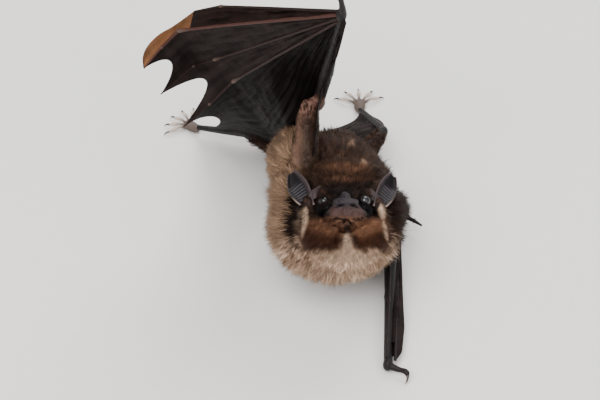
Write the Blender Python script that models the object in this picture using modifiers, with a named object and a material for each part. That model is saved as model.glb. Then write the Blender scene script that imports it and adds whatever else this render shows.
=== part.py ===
"""A small house bat, life size, standing on its left wrist and both feet with the right wing raised.

The bat faces -Y, its left side is +X and +Z is up. Every length is in metres and starts from the
forearm and the bone table below. Soft parts are blended from ellipsoids, bones and fingers are
tapered tubes, and each wing web is a thin sheet between the bones that carry it. The parts are
separated by thin gaps, as if a whole model had been parted with a fine saw.
"""

import math

import bmesh
import bpy
from mathutils import Matrix, Vector
from mathutils.bvhtree import BVHTree

MM = 0.001
FLOOR_Z = 0.0
GAP = 0.3 * MM
WEB_THICKNESS = 0.55 * MM
FOREARM = 49.0 * MM

# Bone lengths as shares of the forearm.
BONES = {
    "upper_arm": 0.602 * FOREARM,
    "forearm": FOREARM,
    "palm_2": 0.71 * FOREARM,
    "palm_3": 0.98 * FOREARM,
    "palm_4": 0.96 * FOREARM,
    "palm_5": 0.92 * FOREARM,
    "trunk": 0.694 * FOREARM,
    "thigh": 0.395 * FOREARM,
    "shin": 0.425 * FOREARM,
}

SHOULDER_MIDDLE = Vector((-0.1, 6.1, 27.0)) * MM
SHOULDER_HALF_WIDTH = 9.0 * MM
HIP_OFFSET = {"right": Vector((-6.0, 2.8, 0.0)) * MM, "left": Vector((3.5, -1.7, 0.0)) * MM}
NOSE_TIP = Vector((0.2, -4.9, 41.0)) * MM
SNOUT_RISE = 62.0
HEAD_TURN = 4.5

FUR_BROWN = (0.085, 0.050, 0.032)
FUR_PALE = (0.42, 0.28, 0.19)
SKIN_DARK = (0.035, 0.026, 0.026)
SKIN_FACE = (0.10, 0.07, 0.065)
EYE_BLACK = (0.008, 0.007, 0.008)
HORN = (0.05, 0.04, 0.035)


def direction(heading, rise):
    """Unit vector: heading in degrees from straight ahead towards the bat's left, rise above level."""
    turn, tilt = math.radians(heading), math.radians(rise)
    return Vector((math.sin(turn) * math.cos(tilt), -math.cos(turn) * math.cos(tilt), math.sin(tilt)))


def reach(start, length, heading, rise):
    """The far end of a bone that starts at a joint."""
    return start + direction(heading, rise) * length


# ------------------------------------------------------------------ skeleton

HIP_MIDDLE = reach(SHOULDER_MIDDLE, BONES["trunk"], 184.6, -27.5)
SHOULDER = {
    "right": SHOULDER_MIDDLE - Vector((SHOULDER_HALF_WIDTH, 0, 0)),
    "left": SHOULDER_MIDDLE + Vector((SHOULDER_HALF_WIDTH, 0, 0)),
}
ELBOW = {
    "right": reach(SHOULDER["right"], BONES["upper_arm"], 173.6, 28.2),
    "left": reach(SHOULDER["left"], BONES["upper_arm"], 170.4, -43.5),
}
WRIST = {
    "right": reach(ELBOW["right"], BONES["forearm"], 14.7, 66.4),
    "left": reach(ELBOW["left"], BONES["forearm"], -2.5, -5.6),
}
HIP = {side: HIP_MIDDLE + offset for side, offset in HIP_OFFSET.items()}
KNEE = {
    "right": reach(HIP["right"], BONES["thigh"], -121.4, 1.8),
    "left": reach(HIP["left"], BONES["thigh"], 148.8, -0.4),
}
ANKLE = {
    "right": reach(KNEE["right"], BONES["shin"], -133.0, -28.4),
    "left": reach(KNEE["left"], BONES["shin"], -161.5, -27.0),
}

# Right hand, half open: each digit's bones as (length, heading, rise), from the wrist outwards.
OPEN_DIGITS = {
    2: [(BONES["palm_2"], -117.0, -19.6), (7.0 * MM, -101.8, -23.2)],
    3: [(BONES["palm_3"], -114.6, -26.3), (7.0 * MM, -90.6, -51.4), (7.0 * MM, -37.7, -16.7)],
    4: [(BONES["palm_4"], -121.7, -40.5), (7.4 * MM, -116.2, -37.4), (11.8 * MM, -41.9, -6.8)],
    5: [(BONES["palm_5"], -121.4, -48.6), (9.1 * MM, -78.8, -47.4), (9.2 * MM, -41.9, -6.2)],
}
# Left hand, folded back along the forearm on the ground.
FOLDED_DIGITS = {
    2: [(0.97 * BONES["palm_2"], 177.0, 5.6)],
    3: [(BONES["palm_3"], 176.9, 2.0)],
    4: [(0.98 * BONES["palm_4"], 177.4, 1.4)],
    5: [(0.97 * BONES["palm_5"], 178.4, 0.9)],
}
FOLDED_ROOTS = {2: (-0.2, 2.3), 3: (1.9, 0.6), 4: (0.9, -0.7), 5: (-0.5, -0.9)}
DIGIT_RADIUS = {2: 0.36 * MM, 3: 0.52 * MM, 4: 0.46 * MM, 5: 0.46 * MM}


def chain(start, bones):
    """Joint places along a digit, from its root to its tip."""
    places = [start]
    for length, heading, rise in bones:
        places.append(reach(places[-1], length, heading, rise))
    return places


# ------------------------------------------------------------------ modelling helpers

def start_scene():
    """Empties the scene and makes the collections for the parts and the cutters."""
    for thing in list(bpy.data.objects):
        bpy.data.objects.remove(thing)
    made = {}
    for name in ("bat", "cutters"):
        made[name] = bpy.data.collections.new(name)
        bpy.context.scene.collection.children.link(made[name])
    made["cutters"].hide_render = True
    return made


def material(name, colour, roughness, metallic=0.0):
    """A plain Principled material."""
    made = bpy.data.materials.new(name)
    made.use_nodes = True
    shader = made.node_tree.nodes["Principled BSDF"]
    shader.inputs["Base Color"].default_value = (*colour, 1.0)
    shader.inputs["Roughness"].default_value = roughness
    shader.inputs["Metallic"].default_value = metallic
    return made


def add_mesh(name, mesh, finish=None):
    """Links a mesh as a named part."""
    part = bpy.data.objects.new(name, mesh)
    PARTS.objects.link(part)
    if finish is not None:
        part.data.materials.clear()
        part.data.materials.append(FINISH[finish])
    return part


def evaluated_mesh(part):
    """The part's mesh with its modifiers applied, in world space."""
    bpy.context.view_layer.update()
    shown = part.evaluated_get(bpy.context.evaluated_depsgraph_get())
    mesh = bpy.data.meshes.new_from_object(shown)
    mesh.transform(part.matrix_world)
    return mesh


def mend(work):
    """Collapses slivers, drops the smallest face at any crowded edge and fills the pinholes left."""
    bmesh.ops.dissolve_degenerate(work, edges=work.edges, dist=0.02 * MM)
    for _ in range(4):
        crowded = set()
        for edge in work.edges:
            if len(edge.link_faces) > 2:
                crowded.add(min(edge.link_faces, key=lambda face: face.calc_area()))
        if crowded:
            bmesh.ops.delete(work, geom=list(crowded), context="FACES")
        loose = [e for e in work.edges if not e.link_faces]
        bmesh.ops.delete(work, geom=loose, context="EDGES")
        rim = [e for e in work.edges if len(e.link_faces) == 1]
        if rim:
            bmesh.ops.holes_fill(work, edges=rim, sides=0)
        if not crowded and not rim:
            break
    lone = [v for v in work.verts if not v.link_faces]
    bmesh.ops.delete(work, geom=lone, context="VERTS")
    bmesh.ops.recalc_face_normals(work, faces=work.faces)


def freeze(part):
    """Replaces a part, curve or mesh, with its evaluated and welded mesh in world space."""
    name = part.name
    mesh = evaluated_mesh(part)
    work = bmesh.new()
    work.from_mesh(mesh)
    bmesh.ops.remove_doubles(work, verts=work.verts, dist=0.00005 * MM)
    mend(work)
    work.to_mesh(mesh)
    work.free()
    bpy.data.objects.remove(part)
    return add_mesh(name, mesh)


def spread_of(verts):
    """The diagonal of the box around some vertices."""
    spans = [[v.co[k] for v in verts] for k in range(3)]
    return math.dist([min(span) for span in spans], [max(span) for span in spans])


def volume_of(part):
    """The volume that a part's mesh encloses."""
    work = bmesh.new()
    work.from_mesh(part.data)
    volume = work.calc_volume(signed=True)
    work.free()
    return volume


def keep_largest(part):
    """Drops the crumbs that a cut can leave and keeps the biggest body."""
    work = bmesh.new()
    work.from_mesh(part.data)
    left = set(work.verts)
    islands = []
    while left:
        seed = left.pop()
        island, edge = {seed}, [seed]
        while edge:
            here = edge.pop()
            for link in here.link_edges:
                other = link.other_vert(here)
                if other in left:
                    left.remove(other)
                    island.add(other)
                    edge.append(other)
        islands.append(island)
    islands.sort(key=spread_of)
    for island in islands[:-1]:
        bmesh.ops.delete(work, geom=list(island), context="VERTS")
    work.to_mesh(part.data)
    work.free()
    return part


def finish_part(part, finish, sharp=40.0):
    """Gives a part its material and smooth shading."""
    part.data.materials.clear()
    part.data.materials.append(FINISH[finish])
    part.data.shade_smooth()
    part.data.set_sharp_from_angle(angle=math.radians(sharp))
    return part


def ellipsoid(name, centre, radii, axes=None, segments=28):
    """A sphere primitive stretched to three radii along the given axes."""
    bpy.ops.mesh.primitive_uv_sphere_add(segments=segments, ring_count=segments // 2, radius=1.0)
    part = bpy.context.object
    part.name = name
    frame = Matrix.Identity(3) if axes is None else Matrix(axes).transposed()
    spread = Matrix.Diagonal(Vector(radii))
    part.data.transform(Matrix.Translation(centre) @ (frame @ spread).to_4x4())
    if frame.determinant() < 0.0:
        part.data.flip_normals()
    for holder in list(part.users_collection):
        holder.objects.unlink(part)
    PARTS.objects.link(part)
    return part


def join(name, pieces):
    """Joins several meshes into one object, still as separate shells."""
    work = bmesh.new()
    for piece in pieces:
        work.from_mesh(piece.data)
        bpy.data.objects.remove(piece)
    mesh = bpy.data.meshes.new(name)
    work.to_mesh(mesh)
    work.free()
    return add_mesh(name, mesh)


def blend(name, pieces, voxel, smoothing, triangles):
    """Melts overlapping shells into one smooth closed form with about the given triangles."""
    part = join(name, pieces)
    remesh = part.modifiers.new("melt", "REMESH")
    remesh.mode = "VOXEL"
    remesh.voxel_size = voxel
    soften = part.modifiers.new("soften", "SMOOTH")
    soften.factor = 0.5
    soften.iterations = smoothing
    part = freeze(part)
    thin = part.modifiers.new("thin", "DECIMATE")
    thin.ratio = min(1.0, triangles / (2.0 * len(part.data.polygons)))
    return freeze(part)


def smooth_path(points, steps):
    """Points on a smooth curve through the joints, crossing each one midway between its two bones."""
    ways = [(b - a).normalized() for a, b in zip(points, points[1:])]
    aims = [ways[0], *((a + b).normalized() for a, b in zip(ways, ways[1:])), ways[-1]]
    path = []
    for a, b, leaving, coming in zip(points, points[1:], aims, aims[1:]):
        size = (b - a).length
        for k in range(steps):
            t = k / steps
            curl = leaving * (t * (1 - t) ** 2) - coming * (t * t * (1 - t))
            path.append(a + (b - a) * (t * t * (3 - 2 * t)) + curl * size)
    path.append(points[-1])
    return path


def tube(name, points, radii, sides=2):
    """A tapered tube with filled ends through the points, frozen to a closed mesh."""
    curve = bpy.data.curves.new(name, "CURVE")
    curve.dimensions = "3D"
    curve.bevel_depth = 1.0 * MM
    curve.bevel_resolution = sides
    curve.use_fill_caps = True
    spline = curve.splines.new("POLY")
    spline.points.add(len(points) - 1)
    for spot, place, radius in zip(spline.points, points, radii):
        spot.co = (*place, 1.0)
        spot.radius = radius / MM
    part = bpy.data.objects.new(name, curve)
    PARTS.objects.link(part)
    return freeze(part)


def limb(name, joints, widths, steps=5, sides=2):
    """A limb through its joints, with a radius at each joint and rounded ends."""
    path = smooth_path(joints, steps)
    radii = []
    for i in range(len(path)):
        place = i / (len(path) - 1) * (len(widths) - 1)
        low = min(int(place), len(widths) - 2)
        radii.append(widths[low] + (widths[low + 1] - widths[low]) * (place - low))
    radii[0] *= 0.55
    radii[-1] *= 0.55
    return tube(name, path, radii, sides)


def swollen(part, by):
    """A cutter: a copy of a part grown by a clearance along its normals."""
    work = bmesh.new()
    work.from_mesh(part.data)
    bmesh.ops.recalc_face_normals(work, faces=work.faces)
    work.normal_update()
    shifts = [v.normal * by for v in work.verts]
    for v, shift in zip(work.verts, shifts):
        v.co += shift
    mesh = bpy.data.meshes.new("grown_" + part.name)
    work.to_mesh(mesh)
    work.free()
    cutter = bpy.data.objects.new("grown_" + part.name, mesh)
    CUTTERS.objects.link(cutter)
    cutter.hide_render = True
    cutter.display_type = "WIRE"
    return cutter


def extent(part, grow=0.0):
    """The low and high corners of a part's box."""
    places = [v.co for v in part.data.vertices]
    low = Vector([min(p[k] for p in places) - grow for k in range(3)])
    high = Vector([max(p[k] for p in places) + grow for k in range(3)])
    return low, high


def surfaces_meet(part, other, gap):
    """Whether a part comes within the gap of another part's surface."""
    low, high = extent(part)
    other_low, other_high = extent(other, gap)
    if any(low[k] > other_high[k] or high[k] < other_low[k] for k in range(3)):
        return False
    work = bmesh.new()
    work.from_mesh(other.data)
    tree = BVHTree.FromBMesh(work)
    work.free()
    inside = bmesh.new()
    inside.from_mesh(part.data)
    bmesh.ops.triangulate(inside, faces=inside.faces)
    near = any(tree.find_nearest(v.co, gap * 1.5)[0] is not None for v in inside.verts)
    near = near or bool(tree.overlap(BVHTree.FromBMesh(inside)))
    inside.free()
    return near


def closed_and_whole(part):
    """Whether a part has faces and every edge has exactly two of them."""
    work = bmesh.new()
    work.from_mesh(part.data)
    good = len(work.faces) > 3 and all(edge.is_manifold for edge in work.edges)
    work.free()
    return good


def difference(part, other, gap, overlapping):
    """A new part: this one less the grown shape of another."""
    cutter = swollen(other, gap)
    trial = copy_of(part, part.name)
    cut = trial.modifiers.new("fit", "BOOLEAN")
    cut.operation = "DIFFERENCE"
    cut.solver = "EXACT"
    cut.use_self = overlapping
    cut.object = cutter
    trial = freeze(trial)
    bpy.data.objects.remove(cutter)
    return trial


def carve(part, others, gap=GAP):
    """Cuts the grown shapes of other parts out of this one, so that it meets them with a thin gap."""
    for other in others:
        if not surfaces_meet(part, other, gap):
            continue
        for overlapping, share in ((False, 1.0), (True, 1.0), (False, 1.12), (True, 1.12)):
            trial = difference(part, other, gap * share, overlapping)
            most, least = volume_of(part) * 1.001, volume_of(part) - 1.5 * volume_of(other) - 1e-9
            if closed_and_whole(trial) and least <= volume_of(trial) <= most:
                break
            bpy.data.objects.remove(trial)
            trial = None
        if trial is not None:
            name = part.name
            bpy.data.objects.remove(part)
            part = trial
            part.name = name
    return keep_largest(part)


def slice_off(part, point, normal):
    """Removes what lies on the normal's side of a plane and closes the cut with a flat face."""
    work = bmesh.new()
    work.from_mesh(part.data)
    geometry = work.verts[:] + work.edges[:] + work.faces[:]
    cut = bmesh.ops.bisect_plane(work, geom=geometry, dist=0.001 * MM, plane_co=point, plane_no=normal,
                                 clear_outer=True)
    rim = [e for e in cut["geom_cut"] if isinstance(e, bmesh.types.BMEdge)]
    if rim:
        bmesh.ops.contextual_create(work, geom=rim)
        bmesh.ops.triangulate(work, faces=work.faces)
    mend(work)
    work.to_mesh(part.data)
    work.free()
    return keep_largest(part)


def stand_flat(part):
    """Flattens whatever dips under the floor, which gives the part a small level sole."""
    return slice_off(part, Vector((0, 0, FLOOR_Z)), Vector((0, 0, -1)))


def copy_of(part, name):
    """A second part with its own copy of the mesh."""
    return add_mesh(name, part.data.copy())


def sheet(name, rows, thickness=WEB_THICKNESS):
    """A thin closed web through a grid of points."""
    work = bmesh.new()
    grid = [[work.verts.new(p) for p in row] for row in rows]
    for upper, lower in zip(grid, grid[1:]):
        for a, b, c, d in zip(upper, upper[1:], lower[1:], lower):
            work.faces.new((a, b, c, d))
    bmesh.ops.recalc_face_normals(work, faces=work.faces)
    mesh = bpy.data.meshes.new(name)
    work.to_mesh(mesh)
    work.free()
    part = add_mesh(name, mesh)
    body = part.modifiers.new("body", "SOLIDIFY")
    body.thickness = thickness
    body.offset = 0.0
    return freeze(part)


def along(points, share):
    """The place at a share of the length of a line through points."""
    spans = [(b - a).length for a, b in zip(points, points[1:])]
    left = share * sum(spans)
    for a, b, span in zip(points, points[1:], spans):
        if left <= span:
            return a.lerp(b, left / span)
        left -= span
    return points[-1].copy()


def web(name, first, second, clear, scallop, rows, columns, start=0.0, sag=Vector((0, 0, 0))):
    """A web between two bone lines.

    It keeps clear[0] and clear[1] from the lines, begins at the share start of their length, and
    its free edge between the two tips is drawn in by the share scallop.
    """
    grid = []
    for i in range(rows + 1):
        row = []
        for j in range(columns + 1):
            across = j / columns
            reach_out = 1.0 - scallop * 4.0 * across * (1.0 - across)
            share = start + (reach_out - start) * i / rows
            a, b = along(first, share), along(second, share)
            span = (b - a).length
            low, high = clear[0] / span, 1.0 - clear[1] / span
            if low > high - 0.12:
                low, high = 0.5 - 0.06, 0.5 + 0.06
            hang = math.sin(math.pi * across) * math.sin(math.pi * min(1.0, 0.15 + 0.85 * i / rows))
            row.append(a.lerp(b, low + (high - low) * across) + sag * hang)
        grid.append(row)
    return sheet(name, grid)


# ------------------------------------------------------------------ body

SIDE = Vector((1, 0, 0))
CROWN = direction(180, 90 - SNOUT_RISE)
HEAD_SIDE = Matrix.Rotation(math.radians(-HEAD_TURN), 3, CROWN) @ SIDE
SNOUT = Matrix.Rotation(math.radians(-HEAD_TURN), 3, CROWN) @ direction(0, SNOUT_RISE)
HEAD_AXES = (HEAD_SIDE, SNOUT, CROWN)


def on_head(side, fore, up):
    """A place on the head, in millimetres from the nose tip along the head's own axes."""
    return NOSE_TIP + (HEAD_SIDE * side + SNOUT * fore + CROWN * up) * MM


def head_lump(name, place, radii):
    """An ellipsoid of the head, placed and sized in millimetres in the head's own axes."""
    return ellipsoid(name, on_head(*place), Vector(radii) * MM, HEAD_AXES)


EYE_PLACE = (4.9, -6.9, 2.95)
EYE_RADIUS = 1.35 * MM


def build_head():
    """The head, melted from lumps, with the eyes and ears set in it."""
    lumps = [
        head_lump("cranium", (0, -14.0, 4.2), (9.3, 8.6, 8.0)),
        head_lump("brow", (0, -9.5, 3.4), (5.6, 5.0, 4.3)),
        head_lump("muzzle", (0, -5.0, -1.2), (5.4, 4.9, 4.2)),
        head_lump("nose", (0, -1.5, 0.5), (2.9, 1.6, 1.7)),
        head_lump("nose_ridge", (0, -2.6, 1.9), (1.5, 2.2, 1.5)),
        head_lump("chin", (0, -5.6, -6.4), (2.6, 3.6, 2.2)),
        head_lump("throat", (0, -12.5, -6.5), (8.0, 7.0, 5.2)),
    ]
    for side in (-1, 1):
        lumps.append(head_lump("lip", (side * 2.9, -2.7, -2.1), (2.9, 2.7, 2.5)))
        lumps.append(head_lump("cheek", (side * 6.0, -7.6, -5.6), (5.0, 5.2, 4.6)))
    head = blend("head", lumps, 0.7 * MM, 4, 640)
    eyes = []
    for side, name in ((-1, "eye_right"), (1, "eye_left")):
        place = (side * EYE_PLACE[0], *EYE_PLACE[1:])
        eye = ellipsoid(name, on_head(*place), (EYE_RADIUS,) * 3, HEAD_AXES, 12)
        eyes.append(finish_part(eye, "eye"))
    ears = [build_ear(f"ear_{name}", sign, head) for name, sign in (("right", -1), ("left", 1))]
    return head, eyes, ears


def part_jaw(head, eyes):
    """Sets the eyes into the head and parts it at the mouth into the jaw and the rest."""
    head = carve(head, eyes, 0.2 * MM)
    jaw = copy_of(head, "jaw")
    mouth = on_head(0, 0, -5.0)
    lift = (CROWN - SNOUT * 0.12).normalized()
    jaw = slice_off(jaw, mouth - lift * GAP / 2, lift)
    head = slice_off(head, mouth + lift * GAP / 2, -lift)
    for part in (head, jaw):
        finish_part(part, "brown_fur")


def build_torso(head):
    """Shoulders, chest, belly and rump, melted together and then parted by thin cuts."""
    spine = (SHOULDER_MIDDLE - HIP_MIDDLE).normalized()
    back = spine.cross(SIDE).normalized()
    body_axes = (SIDE, spine, back)

    def body_lump(name, centre, radii):
        return ellipsoid(name, centre, Vector(radii) * MM, body_axes)

    lumps = [
        body_lump("neck", SHOULDER_MIDDLE + Vector((0.1, 4.0, 3.0)) * MM, (12.4, 9.5, 8.4)),
        body_lump("chest", SHOULDER_MIDDLE + Vector((-2.3, 0.0, -6.0)) * MM, (16.6, 14.6, 13.4)),
        body_lump("flank", SHOULDER_MIDDLE + Vector((-12.6, 16.6, 2.0)) * MM, (8.2, 11.5, 9.4)),
        body_lump("belly", HIP_MIDDLE.lerp(SHOULDER_MIDDLE, 0.45) - SIDE * 0.6 * MM, (13.2, 17.0, 12.6)),
        body_lump("rump", HIP_MIDDLE + Vector((0.5, 0.8, 0.4)) * MM, (10.8, 12.6, 10.2)),
    ]
    hollows = [
        ellipsoid("ear_hollow", on_head(side * 11.2, -12.4, 8.6), Vector((4.8, 3.2, 6.6)) * MM, HEAD_AXES, 16)
        for side in (-1, 1)
    ]
    whole = carve(blend("whole", lumps, 0.8 * MM, 6, 2000), [head, *hollows], 0.7 * MM)
    whole = blend("whole", [whole], 0.6 * MM, 1, 860)
    for hollow in hollows:
        bpy.data.objects.remove(hollow)
    waist = SHOULDER_MIDDLE - spine * 13.0 * MM
    loin = HIP_MIDDLE + spine * 3.0 * MM
    yoke = SHOULDER_MIDDLE + back * 1.5 * MM
    pieces = {
        "shoulders": [(waist, -spine), (yoke, -back)],
        "chest": [(waist, -spine), (yoke, back)],
        "belly": [(waist, spine), (loin, -spine)],
        "rump": [(loin, spine)],
    }
    made = {}
    for name, planes in pieces.items():
        part = copy_of(whole, name)
        for point, normal in planes:
            part = slice_off(part, point - normal * GAP / 2, normal)
        made[name] = part
    bpy.data.objects.remove(whole)

    for name in ("shoulders", "belly", "rump"):
        finish_part(made[name], "brown_fur")
    finish_part(made["chest"], "pale_fur")
    made["rump"] = finish_part(stand_flat(made["rump"]), "brown_fur")
    return made


def build_ear(name, side, head):
    """A short broad ear: a cupped blade whose hollow faces forward and outward."""
    base = on_head(side * 8.6, -11.2, 4.2)
    tip = on_head(side * 12.4, -12.6, 12.0)
    rise = (tip - base).normalized()
    hollow = (SNOUT * 0.80 + HEAD_SIDE * side * 0.62 - CROWN * 0.1).normalized()
    hollow = (hollow - rise * hollow.dot(rise)).normalized()
    across = rise.cross(hollow).normalized() * side
    height, half_width, cup = (tip - base).length, 3.2 * MM, 2.1 * MM
    rows = []
    steps, columns = 6, 5
    for i in range(steps + 1):
        u = i / steps
        width = half_width * (0.62 + 0.95 * u - 1.35 * u ** 2.4) + 0.25 * MM
        row = []
        for j in range(columns + 1):
            v = 2.0 * j / columns - 1.0
            bend = v * 1.15
            row.append(base + rise * (height * u + 0.9 * MM * v * (1 - u))
                       + across * width * math.sin(bend) / math.sin(1.15)
                       + hollow * cup * (1 - u * 0.75) * (1 - math.cos(bend)))
        rows.append(row)
    ear = carve(sheet(name, rows, 0.6 * MM), [head])
    return finish_part(ear, "face_skin")


# ------------------------------------------------------------------ limbs

def build_arm(side, body, pointing):
    """Upper arm, forearm, wrist and thumb of one side."""
    shoulder, elbow, wrist = SHOULDER[side], ELBOW[side], WRIST[side]
    towards = (wrist - elbow).normalized()
    back = (elbow - shoulder).normalized()
    if side == "right":
        joints = [shoulder - SIDE * 0.6 * MM, shoulder.lerp(elbow, 0.5) - SIDE * 1.6 * MM, elbow - SIDE * 2.5 * MM]
        widths = [2.0 * MM, 2.7 * MM, 3.2 * MM, 2.9 * MM]
    else:
        joints = [shoulder, shoulder.lerp(elbow, 0.5), elbow - back * 0.4 * MM]
        widths = [3.0 * MM, 3.0 * MM, 2.0 * MM]
    upper = carve(limb(f"upper_arm_{side}", joints, widths, 5, 3), body)
    fore = limb(f"forearm_{side}",
                [elbow + towards * 0.6 * MM, elbow.lerp(wrist, 0.16), elbow.lerp(wrist, 0.5), wrist],
                [1.6 * MM, 1.8 * MM, 1.15 * MM, 1.1 * MM], 3, 2)
    fore = carve(fore, [upper, *body])
    palm = ellipsoid(f"wrist_{side}", wrist + pointing * 0.6 * MM,
                     Vector((1.9, 1.9, 2.25)) * MM, None, 12)
    palm = stand_flat(palm)
    fore = stand_flat(carve(fore, [palm]))
    return upper, fore, palm


def build_thumb(side, palm, bones):
    """The thumb with its hooked claw."""
    places = chain(WRIST[side], bones)
    made = limb(f"thumb_{side}", places, [0.95 * MM, 0.8 * MM, 0.62 * MM, 0.34 * MM], 3, 2)
    return finish_part(stand_flat(carve(made, [palm])), "dark_skin")


def build_open_hand(palm, fore):
    """Digits 2 to 5 of the raised wing, fanned out from the wrist."""
    digits, lines = {}, {}
    fan = direction(-120, -70)
    for number, bones in OPEN_DIGITS.items():
        root = WRIST["right"] + fan * (number - 3.0) * 1.25 * MM
        places = chain(root, bones)
        radius = DIGIT_RADIUS[number]
        widths = [radius * 1.15] + [radius * (1.0 - 0.16 * k) for k in range(1, len(places))]
        digit = limb(f"digit_{number}_right", places, widths, 4, 1)
        digits[number] = finish_part(carve(digit, [palm, fore]), "dark_skin")
        lines[number] = smooth_path(places, 4)
    return digits, lines


def build_folded_hand(palm, fore):
    """Digits 2 to 5 of the planted wing, folded back beside the forearm."""
    digits, lines = {}, {}
    for number, bones in FOLDED_DIGITS.items():
        out, up = FOLDED_ROOTS[number]
        root = WRIST["left"] + Vector((out, 1.0, up)) * MM
        places = chain(root, bones)
        radius = DIGIT_RADIUS[number]
        places[0] = places[0].lerp(places[1], 0.02)
        middle = places[0].lerp(places[1], 0.5)
        digit = limb(f"digit_{number}_left", [places[0], middle, places[1]],
                     [radius * 1.1, radius, radius * 1.25], 4, 1)
        digit = carve(digit, [palm, fore])
        digits[number] = finish_part(stand_flat(digit), "dark_skin")
        lines[number] = places
    knuckle, bend = lines[3][1], direction(54, -2)
    tip = limb("digit_3_tip_left", [knuckle + bend * 1.1 * MM, knuckle + bend * 4.2 * MM + direction(0, 90) * 0.2 * MM,
                                    knuckle + bend * 6.6 * MM], [0.85 * MM, 0.7 * MM, 0.4 * MM], 3, 1)
    finish_part(carve(tip, [digits[3]]), "dark_skin")
    return digits, lines


def build_leg(side, body):
    """Thigh and shin of one side."""
    hip, knee, ankle = HIP[side], KNEE[side], ANKLE[side]
    down = (ankle - knee).normalized()
    thigh = limb(f"thigh_{side}", [hip, hip.lerp(knee, 0.55), knee], [3.6 * MM, 3.0 * MM, 1.7 * MM], 5, 3)
    thigh = carve(thigh, body)
    shin = limb(f"shin_{side}", [knee + down * 0.5 * MM, knee.lerp(ankle, 0.45), ankle],
                [1.35 * MM, 1.15 * MM, 0.85 * MM], 5, 2)
    shin = stand_flat(carve(shin, [thigh, *body]))
    return finish_part(thigh, "brown_fur"), finish_part(shin, "dark_skin")


def build_foot(side, shin, heading, spread):
    """A foot with five hooked toes that stand on the floor."""
    ankle = ANKLE[side]
    sole = Vector((ankle.x, ankle.y, 1.15 * MM)) + direction(heading, 0) * 2.1 * MM
    ahead, left = direction(heading, 0), direction(heading + 90, 0)
    pieces = [ellipsoid("sole", sole, Vector((1.75, 2.7, 1.35)) * MM, (left, ahead, Vector((0, 0, 1))), 16)]
    for k in range(5):
        turn = heading + spread * (k - 2) / 2
        root = sole + ahead * 1.2 * MM + left * (k - 2) * 0.55 * MM
        toe = [root, reach(root, 2.6 * MM, turn, 10.0)]
        toe.append(reach(toe[-1], 2.3 * MM, turn, -16.0))
        claw = [toe[-1], reach(toe[-1], 1.3 * MM, turn, -8.0)]
        claw.append(reach(claw[-1], 1.1 * MM, turn, -62.0))
        pieces.append(limb("toe", toe, [0.62 * MM, 0.6 * MM, 0.55 * MM], 3, 1))
        pieces.append(limb("claw", claw, [0.5 * MM, 0.4 * MM, 0.3 * MM], 2, 1))
    foot = blend(f"foot_{side}", pieces, 0.22 * MM, 1, 230)
    foot = stand_flat(carve(foot, [shin]))
    return finish_part(foot, "dark_skin")


TAIL_JOINTS = [
    HIP_MIDDLE + Vector((-0.3, 8.0, -1.5)) * MM,
    HIP_MIDDLE + Vector((-0.8, 14.5, -4.0)) * MM,
    HIP_MIDDLE + Vector((-1.4, 21.0, -7.6)) * MM,
    HIP_MIDDLE + Vector((-1.6, 24.5, -10.1)) * MM,
]


def build_tail(rump):
    """The tail, which runs down to the floor inside its web."""
    made = limb("tail", TAIL_JOINTS, [1.5 * MM, 1.0 * MM, 0.8 * MM, 0.55 * MM], 4, 2)
    return finish_part(stand_flat(carve(made, [rump])), "dark_skin")


def build_tail_web(side, others):
    """The web between one leg and the tail."""
    leg = [HIP[side] + Vector((0, 5.0, -2.5)) * MM, KNEE[side] - Vector((0, 0, 0.9 * MM)), ANKLE[side]]
    tail = [TAIL_JOINTS[0] - Vector((0, 0, 1.0 * MM)), *TAIL_JOINTS[1:]]
    made = web(f"tail_web_{side}", leg, tail, (1.75 * MM, 1.5 * MM), 0.16, 8, 5, 0.25)
    return finish_part(stand_flat(carve(made, others)), "dark_skin")


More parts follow.
